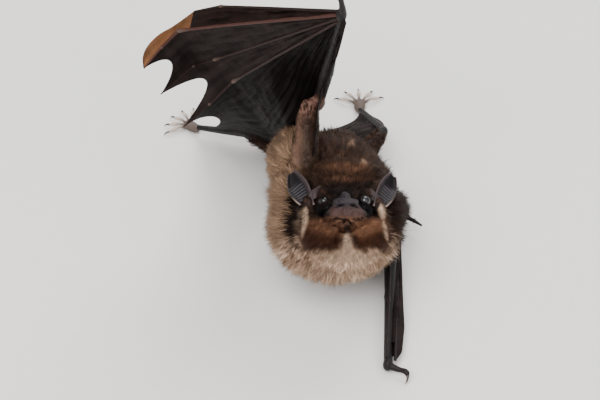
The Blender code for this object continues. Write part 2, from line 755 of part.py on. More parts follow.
def build_raised_webs(lines, digits, arm, body, leg):
    """The webs of the raised wing: between the digits, behind the arm and before the elbow."""
    upper, fore, palm = arm
    thigh, shin = leg
    made = []
    margin = GAP + 0.16 * MM
    knuckle, bend, tip = chain(lines[3][0], OPEN_DIGITS[3])[1:]
    for inner, outer, scallop in ((2, 3, 0.02), (3, 4, 0.11), (4, 5, 0.19)):
        first, second = lines[inner], lines[outer]
        if inner == 2:
            second = [lines[3][0], lines[3][0].lerp(knuckle, 0.93)]
        clear = (DIGIT_RADIUS[inner] + margin, DIGIT_RADIUS[outer] + margin)
        part = web(f"hand_web_{inner}_{outer}_right", first, second, clear, scallop, 10, 4, 0.10)
        made.append(finish_part(carve(part, [palm, digits[3]]), "dark_skin"))
    shoulder, elbow, hip, knee, ankle = (joint["right"] for joint in (SHOULDER, ELBOW, HIP, KNEE, ANKLE))
    side_line = smooth_path([
        WRIST["right"] + direction(-120, -70) * 3.6 * MM,
        elbow.lerp(WRIST["right"], 0.5) + Vector((-2.1, 0.9, 0.0)) * MM,
        elbow.lerp(WRIST["right"], 0.08) + Vector((-2.0, 0.9, -0.2)) * MM,
        elbow.lerp(shoulder, 0.25) + Vector((-4.6, 3.0, -3.0)) * MM,
        elbow.lerp(hip, 0.6) + Vector((-6.6, -3.0, 1.0)) * MM,
        hip.lerp(knee, 0.4) + Vector((-1.6, -1.6, 4.2)) * MM,
        knee + Vector((-0.4, -1.4, 2.6)) * MM,
        knee.lerp(ankle, 0.5) + Vector((-0.7, -1.4, 2.0)) * MM,
        ankle + Vector((0.3, -1.0, 1.7)) * MM,
    ], 4)
    part = web("arm_web_right", lines[5], side_line, (DIGIT_RADIUS[5] + margin, 0.0), 0.13, 11, 7, 0.07,
               direction(60, -10) * -2.6 * MM)
    made.append(finish_part(carve(part, [palm, fore, upper, thigh, shin, *body]), "dark_skin"))
    arm_line = [SHOULDER["right"].lerp(ELBOW["right"], 0.35), ELBOW["right"], WRIST["right"]]
    front = smooth_path([
        SHOULDER["right"] + Vector((1.5, 9.0, 12.0)) * MM,
        ELBOW["right"].lerp(WRIST["right"], 0.12) + Vector((-0.8, -4.8, 0.3)) * MM,
        ELBOW["right"].lerp(WRIST["right"], 0.62) + Vector((0.8, -2.8, -0.3)) * MM,
        WRIST["right"] + Vector((0.8, -1.6, -1.2)) * MM,
    ], 4)
    part = web("fore_web_right", arm_line, front, (0.4 * MM, 0.0), 0.0, 9, 3, 0.03)
    part = carve(part, [palm, fore, upper, *body])
    made.append(finish_part(part, "dark_skin"))
    bones = [lines[3][0].lerp(knuckle, 0.95), knuckle, bend, tip]
    rim = direction(-125, 29)
    edge = [along([knuckle, bend, tip], share) + rim * height * MM
            for share, height in ((0.05, 1.8), (0.37, 2.7), (0.68, 2.8), (0.87, 2.0))]
    edge = smooth_path([lines[2][-1] - direction(90, 60) * 0.9 * MM, *edge, tip + rim * 0.9 * MM], 3)
    part = web("wing_tip_right", bones, edge, (DIGIT_RADIUS[3] + margin, 0.0), 0.0, 9, 3)
    made.append(finish_part(carve(part, [digits[3]]), "face_skin"))
    return made


def build_folded_webs(lines, digits, arm, body):
    """The gathered web of the planted wing, as two narrow strips between the folded digits."""
    upper, fore, palm = arm
    made = []
    for inner, outer in ((3, 4), (4, 5)):
        clear = (DIGIT_RADIUS[inner] + GAP, DIGIT_RADIUS[outer] + GAP)
        part = web(f"hand_web_{inner}_{outer}_left", lines[inner], lines[outer], clear, 0.04, 6, 2, 0.30)
        part = carve(part, [palm, fore, digits[inner], digits[outer], *body])
        made.append(finish_part(stand_flat(part), "dark_skin"))
    return made


def place_on_origin(parts):
    """Moves the model so that the middle of its underside is the origin."""
    low = Vector((math.inf,) * 3)
    high = -low
    for part in parts:
        for corner in part.data.vertices:
            low = Vector(map(min, low, corner.co))
            high = Vector(map(max, high, corner.co))
    shift = Vector((-(low.x + high.x) / 2, -(low.y + high.y) / 2, -low.z))
    for part in parts:
        part.data.transform(Matrix.Translation(shift))


def main():
    """Builds every part in the order in which the parts fit each other."""
    head, eyes, _ = build_head()
    body = build_torso(head)
    part_jaw(head, eyes)
    torso = [body[name] for name in ("shoulders", "chest", "belly", "rump")]

    right_arm = build_arm("right", torso, direction(-120, -40))
    left_arm = build_arm("left", torso, direction(0, 0))
    build_thumb("right", right_arm[2], [(3.2 * MM, -20.0, 78.0), (3.6 * MM, -60.0, 74.0),
                                        (2.6 * MM, -80.0, 30.0)])
    build_thumb("left", left_arm[2], [(2.8 * MM, 62.0, -2.0), (2.6 * MM, 58.0, 6.0), (2.6 * MM, 12.0, -24.0)])
    for arm in (right_arm, left_arm):
        finish_part(arm[0], "brown_fur")
        finish_part(arm[1], "dark_skin")
        finish_part(arm[2], "dark_skin")

    legs = {side: build_leg(side, [body["rump"], body["belly"]]) for side in ("right", "left")}
    build_foot("right", legs["right"][1], -127.0, 58.0)
    build_foot("left", legs["left"][1], 182.0, 66.0)
    tail = build_tail(body["rump"])
    for side in ("right", "left"):
        build_tail_web(side, [body["rump"], *legs[side], tail])

    digits, open_lines = build_open_hand(right_arm[2], right_arm[1])
    build_raised_webs(open_lines, digits, right_arm, torso, legs["right"])
    digits, folded_lines = build_folded_hand(left_arm[2], left_arm[1])
    build_folded_webs(folded_lines, digits, left_arm, torso)
    place_on_origin(list(PARTS.objects))


COLLECTIONS = start_scene()
PARTS, CUTTERS = COLLECTIONS["bat"], COLLECTIONS["cutters"]
FINISH = {
    "brown_fur": material("brown_fur", FUR_BROWN, 0.9),
    "pale_fur": material("pale_fur", FUR_PALE, 0.9),
    "dark_skin": material("dark_skin", SKIN_DARK, 0.55),
    "face_skin": material("face_skin", SKIN_FACE, 0.6),
    "eye": material("eye", EYE_BLACK, 0.08),
}
main()
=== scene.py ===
"""A small house bat, life size: bare wings, feet and muzzle, and a coat of fur in fine locks.

The bat faces -Y, its left side is +X and +Z is up. Its sizes come from the forearm, and its place
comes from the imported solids: the eyes fix the head, and the head fixes every joint.
"""

import logging
import math
from dataclasses import dataclass, field
from enum import Enum
from typing import Sequence

import bmesh
import bpy
import numpy as np
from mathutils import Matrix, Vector


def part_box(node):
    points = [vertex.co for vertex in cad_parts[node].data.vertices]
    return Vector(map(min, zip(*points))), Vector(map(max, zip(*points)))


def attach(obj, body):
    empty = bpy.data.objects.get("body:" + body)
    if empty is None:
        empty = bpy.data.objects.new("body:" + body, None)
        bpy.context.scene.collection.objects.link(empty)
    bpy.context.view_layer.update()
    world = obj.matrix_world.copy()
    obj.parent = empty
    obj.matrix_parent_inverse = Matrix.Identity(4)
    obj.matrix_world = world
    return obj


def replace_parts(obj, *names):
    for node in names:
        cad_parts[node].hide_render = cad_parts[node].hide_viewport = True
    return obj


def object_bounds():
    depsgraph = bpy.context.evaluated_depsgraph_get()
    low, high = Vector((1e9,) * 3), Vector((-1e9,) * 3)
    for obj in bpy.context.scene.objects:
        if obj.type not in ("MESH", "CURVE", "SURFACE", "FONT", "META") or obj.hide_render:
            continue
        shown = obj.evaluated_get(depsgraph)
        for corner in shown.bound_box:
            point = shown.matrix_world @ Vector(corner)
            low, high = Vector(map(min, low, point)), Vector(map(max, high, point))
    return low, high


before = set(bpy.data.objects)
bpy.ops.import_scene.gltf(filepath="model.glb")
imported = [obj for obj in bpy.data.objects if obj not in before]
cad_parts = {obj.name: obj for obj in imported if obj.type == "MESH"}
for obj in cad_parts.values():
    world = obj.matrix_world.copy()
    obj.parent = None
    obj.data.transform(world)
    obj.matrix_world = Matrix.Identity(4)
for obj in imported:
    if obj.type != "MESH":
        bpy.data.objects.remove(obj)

LOG = logging.getLogger("bat")
CAD_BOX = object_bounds()
MM = 0.001
Array = np.ndarray


class Side(Enum):
    """One side of the animal, with its sign along X."""

    RIGHT = ("right", -1.0)
    LEFT = ("left", 1.0)

    @property
    def label(self) -> str:
        """The word used in part names."""
        return self.value[0]

    @property
    def sign(self) -> float:
        """-1 on the right, 1 on the left."""
        return self.value[1]


# ------------------------------------------------------------------ sizes

WAVES = 14                           # summed in each noise
DARKEST = 0.002                      # the least that a colour of skin, fur or web holds
WEB_THICKNESS = 0.11 * MM
EAR_THICKNESS = 0.34 * MM
LOBE_THICKNESS = 0.36 * MM
FINGER_STEPS = 28                    # points on each bone of a finger
LOCK_SHARE = 0.8                     # where on a lock its tip's marking is read
UV_LOCK = (0.0014, 0.0029)           # half the width and the length of a lock's place on the unwrap


# ------------------------------------------------------------------ small mathematics

def unit(vectors: Array) -> Array:
    """Vectors scaled to length one, along the last axis."""
    return vectors / np.maximum(np.linalg.norm(vectors, axis=-1, keepdims=True), 1e-12)


def heading(turn: float, rise: float) -> Array:
    """A unit vector from a turn off straight ahead towards the left and a rise above level, in degrees."""
    a, b = math.radians(turn), math.radians(rise)
    return np.array([math.sin(a) * math.cos(b), -math.cos(a) * math.cos(b), math.sin(b)])


def bump_at(points: Array, centre: Sequence[float], radii: Sequence[float]) -> Array:
    """A smooth hill of height one round a centre.

    Args:
        points: places, one row each.
        centre: the hill's top.
        radii: how far the hill reaches along each axis.

    Returns:
        The height of the hill at each place.
    """
    away = (points - np.asarray(centre)) / np.asarray(radii)
    return np.exp(-np.sum(away * away, axis=-1))


def line_distance(points: Array, path: Array) -> Array:
    """The distance from each point to the nearest stretch of a path.

    Args:
        points: places, one row each.
        path: the points of the path.

    Returns:
        A distance for each place.
    """
    best = np.full(len(points), np.inf)
    for a, b in zip(path, path[1:]):
        run = b - a
        share = np.clip((points - a) @ run / (run @ run), 0.0, 1.0)
        best = np.minimum(best, np.linalg.norm(points - a - share[:, None] * run, axis=1))
    return best


def ramp(values: Array, low: float, high: float) -> Array:
    """Zero below low, one above high, with a soft step between."""
    t = np.clip((values - low) / (high - low), 0.0, 1.0)
    return t * t * (3.0 - 2.0 * t)


def ripple(points: Array, wavelength: float, seed: int) -> Array:
    """Smooth noise from a sum of seeded waves, from about -1 to 1.

    Args:
        points: places, one row each.
        wavelength: about how far apart its crests are.
        seed: of its waves.

    Returns:
        The noise at each place.
    """
    rng = np.random.default_rng(seed)
    aims = unit(rng.normal(size=(WAVES, 3))) * (2.0 * math.pi / wavelength)
    aims *= rng.uniform(0.6, 1.6, (WAVES, 1))
    phases = rng.uniform(0.0, 2.0 * math.pi, WAVES)
    return np.sin(points @ aims.T + phases).sum(axis=1) / math.sqrt(WAVES * 0.75)


def swirl(points: Array, wavelength: float, seed: int) -> Array:
    """Smooth noise in three directions at each place."""
    return np.stack([ripple(points, wavelength, seed + k) for k in range(3)], axis=-1)


def mm(side: float, along: float, up: float) -> Array:
    """Three lengths given in millimetres, as an array in metres."""
    return np.array([side, along, up]) * MM


def flattened(vectors: Array, facings: Array, share: float = 1.0) -> Array:
    """Vectors less a share of what they hold along a facing, row by row."""
    return vectors - share * facings * np.sum(vectors * facings, axis=1, keepdims=True)


def grid_facing(grid: Array) -> Array:
    """The direction in which a grid of places faces at each of them."""
    return unit(np.cross(np.gradient(grid, axis=0), np.gradient(grid, axis=1)))


def mix(first: Array, second: Array, share: Array) -> Array:
    """A blend of two colours or vectors, each one for all rows or one for each, by a share for each row."""
    return first + (second - first) * share[:, None]


def both_sides(head: Array) -> Array:
    """Places in the head's axes with the right side folded over the left."""
    return np.abs(head) * [1, 0, 0] + head * [0, 1, 1]


def smooth_path(joints: Sequence[Array], steps: int, ease: float = 1.0) -> Array:
    """Points on a curve through the joints, which bends more sharply at them the smaller the ease.

    Args:
        joints: places that the curve goes through.
        steps: points from one joint to the next.
        ease: from 0 for straight stretches to 1 for an even curve.

    Returns:
        The curve's points.
    """
    joints = np.array(joints, dtype=float)
    spans = np.diff(joints, axis=0)
    ways = unit(spans)
    aims = np.vstack([ways[:1], unit(ways[:-1] + ways[1:]), ways[-1:]])
    sizes = np.linalg.norm(spans, axis=1)[:, None, None]
    t = np.linspace(0.0, 1.0, steps, endpoint=False)[None, :, None]
    curl = aims[:-1, None] * t * (1 - t)**2 - aims[1:, None] * t**2 * (1 - t)
    along = ease * t**2 * (3 - 2 * t) + (1 - ease) * t
    path = joints[:-1, None] + spans[:, None] * along + curl * sizes * ease
    return np.vstack([path.reshape(-1, 3), joints[-1:]])


def resample(path: Array, shares: Array) -> Array:
    """Places at shares of the length of a path.

    Args:
        path: its points.
        shares: from 0 at its start to 1 at its end.

    Returns:
        A place for each share.
    """
    spans = np.linalg.norm(np.diff(path, axis=0), axis=1)
    marks = np.concatenate([[0.0], np.cumsum(spans)]) / spans.sum()
    return np.stack([np.interp(shares, marks, path[:, k]) for k in range(3)], axis=-1)


# ------------------------------------------------------------------ meshes

def shown(name: str, mesh: bpy.types.Mesh) -> bpy.types.Object:
    """An object of a mesh, smooth-shaded and in the scene.

    Args:
        name: the object's name.
        mesh: its mesh.

    Returns:
        The new object.
    """
    mesh.shade_smooth()
    made = bpy.data.objects.new(name, mesh)
    bpy.context.scene.collection.objects.link(made)
    return made


def mesh_object(name: str, points: Array, faces: Array) -> bpy.types.Object:
    """A smooth-shaded object from arrays, with faces that all have the same number of corners.

    Args:
        name: the object's name.
        points: its vertices.
        faces: each face's vertices, one row each.

    Returns:
        The new object.
    """
    mesh = bpy.data.meshes.new(name)
    count, corners = faces.shape
    mesh.vertices.add(len(points))
    mesh.vertices.foreach_set("co", np.ascontiguousarray(points, np.float32).ravel())
    mesh.loops.add(faces.size)
    mesh.loops.foreach_set("vertex_index", np.ascontiguousarray(faces, np.int32).ravel())
    mesh.polygons.add(count)
    mesh.polygons.foreach_set("loop_start", np.arange(0, faces.size, corners, dtype=np.int32))
    mesh.update(calc_edges=True)
    return shown(name, mesh)


def ball(centre: Array, radii: Sequence[float], axes: Array | None = None,
         rings: int = 18) -> tuple[Array, Array]:
    """An ellipsoid as points and quads, with doubled poles left for the welding that follows.

    Args:
        centre: its middle.
        radii: its half sizes.
        axes: its own axes as rows, or None for the world's.
        rings: how finely it is divided.

    Returns:
        The points and quads.
    """
    up = np.linspace(0.0, math.pi, rings + 1)[:, None]
    turn = np.linspace(0.0, 2.0 * math.pi, 2 * rings, endpoint=False)[None]
    shape = np.stack([np.sin(up) * np.cos(turn), np.sin(up) * np.sin(turn), np.cos(up) + 0 * turn], -1)
    local = shape.reshape(-1, 3) * np.asarray(radii)
    frame_axes = np.eye(3) if axes is None else axes
    return local @ frame_axes + centre, ring_quads(rings + 1, 2 * rings)


def ring_quads(rings: int, sides: int) -> Array:
    """Quads that join rings of points, each ring closed on itself.

    Args:
        rings: how many rings there are.
        sides: points in each.

    Returns:
        The quads.
    """
    i, j = np.meshgrid(np.arange(rings - 1), np.arange(sides), indexing="ij")
    k = (j + 1) % sides
    below, above = i * sides, (i + 1) * sides
    return np.stack([below + j, below + k, above + k, above + j], -1).reshape(-1, 4)


def tube(path: Array, radii: Array, sides: int = 10) -> tuple[Array, Array]:
    """A round-ended tube as points and quads.

    Args:
        path: the points of its middle line.
        radii: the radius at each point.
        sides: corners of its section.

    Returns:
        The points and the quads.
    """
    first = path[0] - unit(path[1] - path[0]) * radii[0] * 0.7
    last = path[-1] + unit(path[-1] - path[-2]) * radii[-1] * 0.7
    line = np.vstack([first, path, last])
    width = np.concatenate([[radii[0] * 0.05], radii, [radii[-1] * 0.05]])
    along = unit(np.gradient(line, axis=0))
    side = unit(np.cross(along[0], [0.31, 0.22, 0.93]))
    turn = np.linspace(0.0, 2.0 * math.pi, sides, endpoint=False)
    rings = []
    for place, aim, size in zip(line, along, width):
        side = unit(side - aim * (side @ aim))
        other = np.cross(aim, side)
        rings.append(place + size * (np.outer(np.cos(turn), side) + np.outer(np.sin(turn), other)))
    return np.vstack(rings), ring_quads(len(line), sides)


def merged(shells: Sequence[tuple[Array, Array]]) -> tuple[Array, Array]:
    """Several shells of quads as one.

    Args:
        shells: the points and quads of each.

    Returns:
        The points and quads of all.
    """
    points, faces, start = [], [], 0
    for shell_points, shell_faces in shells:
        points.append(shell_points)
        faces.append(shell_faces + start)
        start += len(shell_points)
    return np.vstack(points), np.vstack(faces)


def melted(name: str, shells: Sequence[tuple[Array, Array]], step: float, smoothing: int) -> bpy.types.Object:
    """Overlapping shells melted into one closed quad surface.

    Args:
        name: the object's name.
        shells: the closed shells.
        step: the size of the new faces.
        smoothing: how many times it is softened.

    Returns:
        The new object.
    """
    rough = mesh_object("rough", *merged(shells))
    work = bmesh.new()
    work.from_mesh(rough.data)
    bmesh.ops.remove_doubles(work, verts=work.verts, dist=0.002 * MM)
    bmesh.ops.recalc_face_normals(work, faces=work.faces)
    work.to_mesh(rough.data)
    work.free()
    remesh = rough.modifiers.new("melt", "REMESH")
    remesh.mode = "VOXEL"
    remesh.voxel_size = step
    soften = rough.modifiers.new("soften", "SMOOTH")
    soften.factor = 0.5
    soften.iterations = smoothing
    mesh = bpy.data.meshes.new_from_object(rough.evaluated_get(bpy.context.evaluated_depsgraph_get()))
    bpy.data.objects.remove(rough)
    mesh.name = name
    return shown(name, mesh)


def listed(items: bpy.types.bpy_prop_collection, key: str, width: int = 1, kind: type = np.int32) -> Array:
    """One property of all the items of a mesh, end to end.

    Args:
        items: such as its vertices.
        key: the property's name.
        width: how many numbers each item has.
        kind: the type of the numbers.

    Returns:
        The numbers.
    """
    flat = np.empty(len(items) * width, kind)
    items.foreach_get(key, flat)
    return flat


def points_of(thing: bpy.types.Object) -> Array:
    """The places of an object's vertices, one row each."""
    return listed(thing.data.vertices, "co", 3, np.float32).reshape(-1, 3).astype(float)


def normals_of(thing: bpy.types.Object) -> Array:
    """The directions in which an object's vertices face, one row each."""
    return listed(thing.data.vertex_normals, "vector", 3, np.float32).reshape(-1, 3).astype(float)


def set_points(thing: bpy.types.Object, points: Array) -> None:
    """Moves an object's vertices."""
    thing.data.vertices.foreach_set("co", np.ascontiguousarray(points, np.float32).ravel())
    thing.data.update()


def kept_above(thing: bpy.types.Object, level: float) -> Array:
    """Lifts an object's lower vertices to a level.

    Args:
        thing: the object.
        level: the lowest height allowed.

    Returns:
        The places of its vertices afterwards.
    """
    places = points_of(thing)
    places[:, 2] = np.maximum(places[:, 2], level)
    set_points(thing, places)
    return places


def paint(thing: bpy.types.Object, colours: Array) -> None:
    """Stores a colour for each vertex.

    Args:
        thing: the object.
        colours: one row for each vertex.
    """
    layer = thing.data.color_attributes.new("tone", "FLOAT_COLOR", "POINT")
    rgba = np.ones((len(colours), 4), np.float32)
    rgba[:, :3] = colours
    layer.data.foreach_set("color", rgba.ravel())


def joined(name: str, things: Sequence[bpy.types.Object]) -> bpy.types.Object:
    """Several painted objects as one, with their colours kept.

    Args:
        name: the joined object's name.
        things: the objects, of which the first is kept.

    Returns:
        The joined object.
    """
    with bpy.context.temp_override(active_object=things[0], selected_editable_objects=list(things)):
        bpy.ops.object.join()
    things[0].name = name
    things[0].data.name = name
    return things[0]


# ------------------------------------------------------------------ the animal's frame

@dataclass
class Anatomy:
    """The skeleton: named bone lengths with their directions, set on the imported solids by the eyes.

    Attributes:
        forearm: the length that every other bone is a share of, in mm.
        snout_rise: how far the snout points above level, in degrees.
        head_turn: how far the head turns to the left, in degrees.
        gaze_rise: how far above level the gaze points that markings are laid square to, in degrees.
        eye_place: the left eye from the tip of the nose, in mm in the head's axes.
        joints: the places of the joints by name.
    """

    forearm: float = 49.0
    snout_rise: float = 62.0
    head_turn: float = 4.5
    gaze_rise: float = 46.0
    eye_place: tuple[float, float, float] = (4.9, -6.9, 2.95)
    joints: dict[str, Array] = field(default_factory=dict)

    def __post_init__(self) -> None:
        """Places the head from the eyes and every joint from the head."""
        turn = math.radians(self.head_turn)
        self.side = np.array([1.0, 0.0, 0.0])
        self.crown = heading(180.0, 90.0 - self.snout_rise)
        ahead = heading(0.0, self.snout_rise)
        self.snout = ahead * math.cos(turn) + self.side * math.sin(turn)
        self.head_side = self.side * math.cos(turn) - ahead * math.sin(turn)
        self.head_axes = np.stack([self.head_side, self.snout, self.crown])
        corners = [np.array(corner) for node in ("eye_left", "eye_right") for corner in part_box(node)]
        eyes_middle = np.mean(corners, axis=0)
        self.nose = eyes_middle - np.array([0.0, *self.eye_place[1:]]) @ self.head_axes * MM
        self.place_joints()

    def place_joints(self) -> None:
        """Walks out from the shoulders along each bone."""
        shoulders = self.nose + mm(-0.3, 11.0, -14.0)
        hips = self.reach(shoulders, 0.694, 184.6, -27.5)
        put = self.joints
        put["shoulders"], put["hips"] = shoulders, hips
        for side in Side:
            put["shoulder_" + side.label] = shoulders + self.side * side.sign * 9.0 * MM
        put["hip_right"] = hips + mm(-6.0, 2.8, 0.0)
        put["hip_left"] = hips + mm(3.5, -1.7, 0.0)
        walks = {
            "elbow_right": ("shoulder_right", 0.602, 173.6, 28.2),
            "wrist_right": ("elbow_right", 1.0, 14.7, 66.4),
            "elbow_left": ("shoulder_left", 0.602, 170.4, -43.5),
            "wrist_left": ("elbow_left", 1.0, -2.5, -5.6),
            "knee_right": ("hip_right", 0.395, -121.4, 1.8),
            "ankle_right": ("knee_right", 0.425, -133.0, -28.4),
            "knee_left": ("hip_left", 0.395, 148.8, -0.4),
            "ankle_left": ("knee_left", 0.425, -161.5, -27.0),
        }
        for name, (start, share, turn, rise) in walks.items():
            put[name] = self.reach(put[start], share, turn, rise)
        self.spine = unit(shoulders - hips)
        self.back = unit(np.cross(self.spine, self.side))

    def reach(self, start: Array, share: float, turn: float, rise: float) -> Array:
        """The far end of a bone whose length is a share of the forearm."""
        return start + heading(turn, rise) * share * self.forearm * MM

    def at(self, side: Side, *joints: str) -> Array:
        """The places of joints on one side, one row each."""
        return np.stack([self.joints[f"{joint}_{side.label}"] for joint in joints])

    def tail_line(self, drop: float, steps: int) -> Array:
        """The tail's middle line, which starts at a drop below the hips, in millimetres."""
        low = [(-0.3, 8.0, -drop), (-0.8, 14.5, -4.0), (-1.4, 21.0, -7.6), (-1.6, 24.5, -10.1)]
        return smooth_path([self.joints["hips"] + mm(*place) for place in low], steps)

    def on_head(self, side: float, fore: float, up: float) -> Array:
        """A place in the head's own axes, in millimetres from the tip of the nose."""
        return self.nose + np.array([side, fore, up]) @ self.head_axes * MM

    def head_view(self, points: Array) -> Array:
        """Places in the head's own axes, in millimetres."""
        return (points - self.nose) @ self.head_axes.T / MM

    def gaze_view(self, points: Array) -> Array:
        """Places as across, up and towards someone who meets the animal's gaze, in mm from the nose."""
        gaze = heading(0.0, self.gaze_rise)
        return (points - self.nose) @ np.stack([self.side, np.cross(gaze, self.side), gaze]).T / MM

    def body_view(self, points: Array) -> Array:
        """Places as side, forward along the spine and up off the spine, in millimetres from the hips."""
        return (points - self.joints["hips"]) @ np.stack([self.side, self.spine, self.back]).T / MM

    def chain(self, start: Array, bones: Sequence[tuple[float, float, float]]) -> list[Array]:
        """Joint places along a digit whose bones are (length in mm, turn, rise).

        Args:
            start: the first joint.
            bones: one triple for each bone.

        Returns:
            Every joint, from the first to the tip.
        """
        places = [start]
        for length, turn, rise in bones:
            places.append(places[-1] + heading(turn, rise) * length * MM)
        return places


# ------------------------------------------------------------------ finishes

class Nodes:
    """A small helper that adds and links shader nodes."""

    def __init__(self, name: str) -> None:
        """Starts a material.

        Args:
            name: the material's name.
        """
        self.material = bpy.data.materials.new(name)
        self.material.use_nodes = True
        self.tree = self.material.node_tree
        self.shader = self.tree.nodes["Principled BSDF"]

    def add(self, kind: str, links: dict[str, object] | None = None, **values: object) -> bpy.types.Node:
        """A new node with its settings and inputs, where an input is a value or another socket.

        Args:
            kind: the node's type.
            links: its inputs by name or number.
            values: its settings.

        Returns:
            The new node.
        """
        node = self.tree.nodes.new(kind)
        for key, value in values.items():
            setattr(node, key, value)
        for key, value in (links or {}).items():
            self.feed(node.inputs[key], value)
        return node

    def feed(self, socket: bpy.types.NodeSocket, value: object) -> None:
        """Sets a socket to a value or links it.

        Args:
            socket: an input.
            value: what it gets.
        """
        if isinstance(value, bpy.types.NodeSocket):
            self.tree.links.new(value, socket)
        else:
            socket.default_value = value

    def set(self, name: str, value: object) -> None:
        """Sets or links one of the shader's own sockets."""
        self.feed(self.shader.inputs[name], value)

    def noise(self, scale: float, detail: float, rough: float = 0.55,
              place: object = None) -> bpy.types.NodeSocket:
        """The value of a noise in object space, or at the given place.

        Args:
            scale: how fine it is.
            detail: its octaves.
            rough: how strong each octave is beside the one before.
            place: where it is read.

        Returns:
            Its value.
        """
        place = place or self.add("ShaderNodeTexCoord").outputs["Object"]
        links = {"Vector": place, "Scale": scale, "Detail": detail, "Roughness": rough}
        return self.add("ShaderNodeTexNoise", links).outputs["Fac"]

    def stretch(self, value: object, low: float, high: float) -> bpy.types.NodeSocket:
        """A value from zero to one mapped to a range."""
        made = self.add("ShaderNodeMapRange", {"Value": value, "To Min": low, "To Max": high})
        return made.outputs["Result"]

    def painted(self, scale: float, detail: float, low: float, high: float) -> bpy.types.NodeSocket:
        """The colour painted on the points, mottled by a noise.

        Args:
            scale: how fine the noise is.
            detail: its octaves.
            low: the least factor on the colour.
            high: the greatest.

        Returns:
            The colour.
        """
        tone = self.add("ShaderNodeAttribute", attribute_name="tone").outputs["Color"]
        return self.times(tone, self.stretch(self.noise(scale, detail, 0.6), low, high))

    def times(self, colour: object, factor: object) -> bpy.types.NodeSocket:
        """A colour multiplied by a value.

        Args:
            colour: the colour.
            factor: the value.

        Returns:
            The product.
        """
        made = self.add("ShaderNodeVectorMath", {0: colour}, operation="SCALE")
        self.feed(made.inputs["Scale"], factor)
        return made.outputs["Vector"]

    def bump(self, height: object, depth: float, strength: float,
             under: object = None) -> bpy.types.NodeSocket:
        """A bump from a height, over another bump if given.

        Args:
            height: the height.
            depth: in metres, at a height of one.
            strength: how fully it shows.
            under: the other bump.

        Returns:
            The bumped normal.
        """
        made = self.add("ShaderNodeBump", {"Height": height, "Distance": depth, "Strength": strength})
        if under is not None:
            self.feed(made.inputs["Normal"], under)
        return made.outputs["Normal"]


@dataclass(frozen=True)
class PaintedSkin:
    """Skin whose colour is painted on its points, with pores and fine creases."""

    name: str
    roughness: float = 0.55
    crease_scale: float = 2600.0
    crease_depth: float = 0.00012
    soft_light: float = 0.0
    gloss: float = 0.16

    def make(self) -> bpy.types.Material:
        """Builds the material.

        Returns:
            The material.
        """
        kit = Nodes(self.name)
        kit.set("Base Color", kit.painted(700.0, 5.0, 0.72, 1.3))
        kit.set("Roughness", kit.stretch(kit.noise(1900.0, 3.0), self.roughness - 0.1, self.roughness + 0.12))
        kit.set("Specular IOR Level", self.gloss)
        cells = kit.add("ShaderNodeTexVoronoi", {"Scale": self.crease_scale}, feature="DISTANCE_TO_EDGE")
        kit.feed(cells.inputs["Vector"], kit.add("ShaderNodeTexCoord").outputs["Object"])
        broad = kit.bump(kit.noise(900.0, 6.0, 0.6), self.crease_depth * 2.0, 0.7)
        kit.set("Normal", kit.bump(cells.outputs["Distance"], self.crease_depth, 0.5, broad))
        if self.soft_light:
            kit.set("Subsurface Weight", self.soft_light)
            kit.set("Subsurface Radius", (0.0016, 0.0007, 0.0005))
            kit.set("Subsurface Scale", 1.0)
        return kit.material


@dataclass(frozen=True)
class WingSkin:
    """Thin wing skin with fine elastic lines across it and a dull leathery gloss."""

    name: str

    def make(self) -> bpy.types.Material:
        """Builds the material.

        Returns:
            The material.
        """
        kit = Nodes(self.name)
        lie = kit.add("ShaderNodeUVMap", uv_map="weave").outputs["UV"]
        along = kit.add("ShaderNodeMapping", {"Vector": lie, "Scale": (0.9, 0.12, 1.0)}).outputs["Vector"]
        lines = kit.noise(1.0, 3.0, 0.5, along)
        across = kit.add("ShaderNodeMapping", {"Vector": lie, "Scale": (0.18, 1.3, 1.0)}).outputs["Vector"]
        folds = kit.noise(0.9, 5.0, 0.6, across)
        kit.set("Base Color", kit.times(kit.painted(260.0, 5.0, 0.62, 1.45), kit.stretch(lines, 0.72, 1.3)))
        kit.set("Roughness", kit.stretch(kit.noise(1500.0, 3.0), 0.46, 0.7))
        kit.set("Specular IOR Level", 0.06)
        low = kit.bump(folds, 0.00035, 0.55)
        kit.set("Normal", kit.bump(lines, 0.0003, 0.75, low))
        return kit.material


@dataclass(frozen=True)
class Fur:
    """Fur whose colour runs from root to tip, painted on the locks."""

    name: str
    roughness: float = 0.6
    gloss: float = 0.12

    def make(self) -> bpy.types.Material:
        """Builds the material.

        Returns:
            The material.
        """
        kit = Nodes(self.name)
        kit.set("Base Color", kit.painted(420.0, 4.0, 0.82, 1.18))
        kit.set("Roughness", self.roughness)
        kit.set("Specular IOR Level", self.gloss)
        return kit.material


@dataclass(frozen=True)
class Glossy:
    """A smooth hard finish such as an eye or a claw."""

    name: str
    colour: tuple[float, float, float]
    roughness: float
    coat: float = 0.0

    def make(self) -> bpy.types.Material:
        """Builds the material.

        Returns:
            The material.
        """
        kit = Nodes(self.name)
        fade = kit.stretch(kit.noise(900.0, 3.0), 0.7, 1.3)
        kit.set("Base Color", kit.times((*self.colour,), fade))
        kit.set("Roughness", self.roughness)
        kit.set("Coat Weight", self.coat)
        kit.set("Coat Roughness", 0.08)
        return kit.material


def dress(thing: bpy.types.Object, material: bpy.types.Material) -> bpy.types.Object:
    """Gives an object one material.

    Args:
        thing: the object.
        material: its only material.

    Returns:
        The same object.
    """
    thing.data.materials.clear()
    thing.data.materials.append(material)
    return thing


# ------------------------------------------------------------------ markings

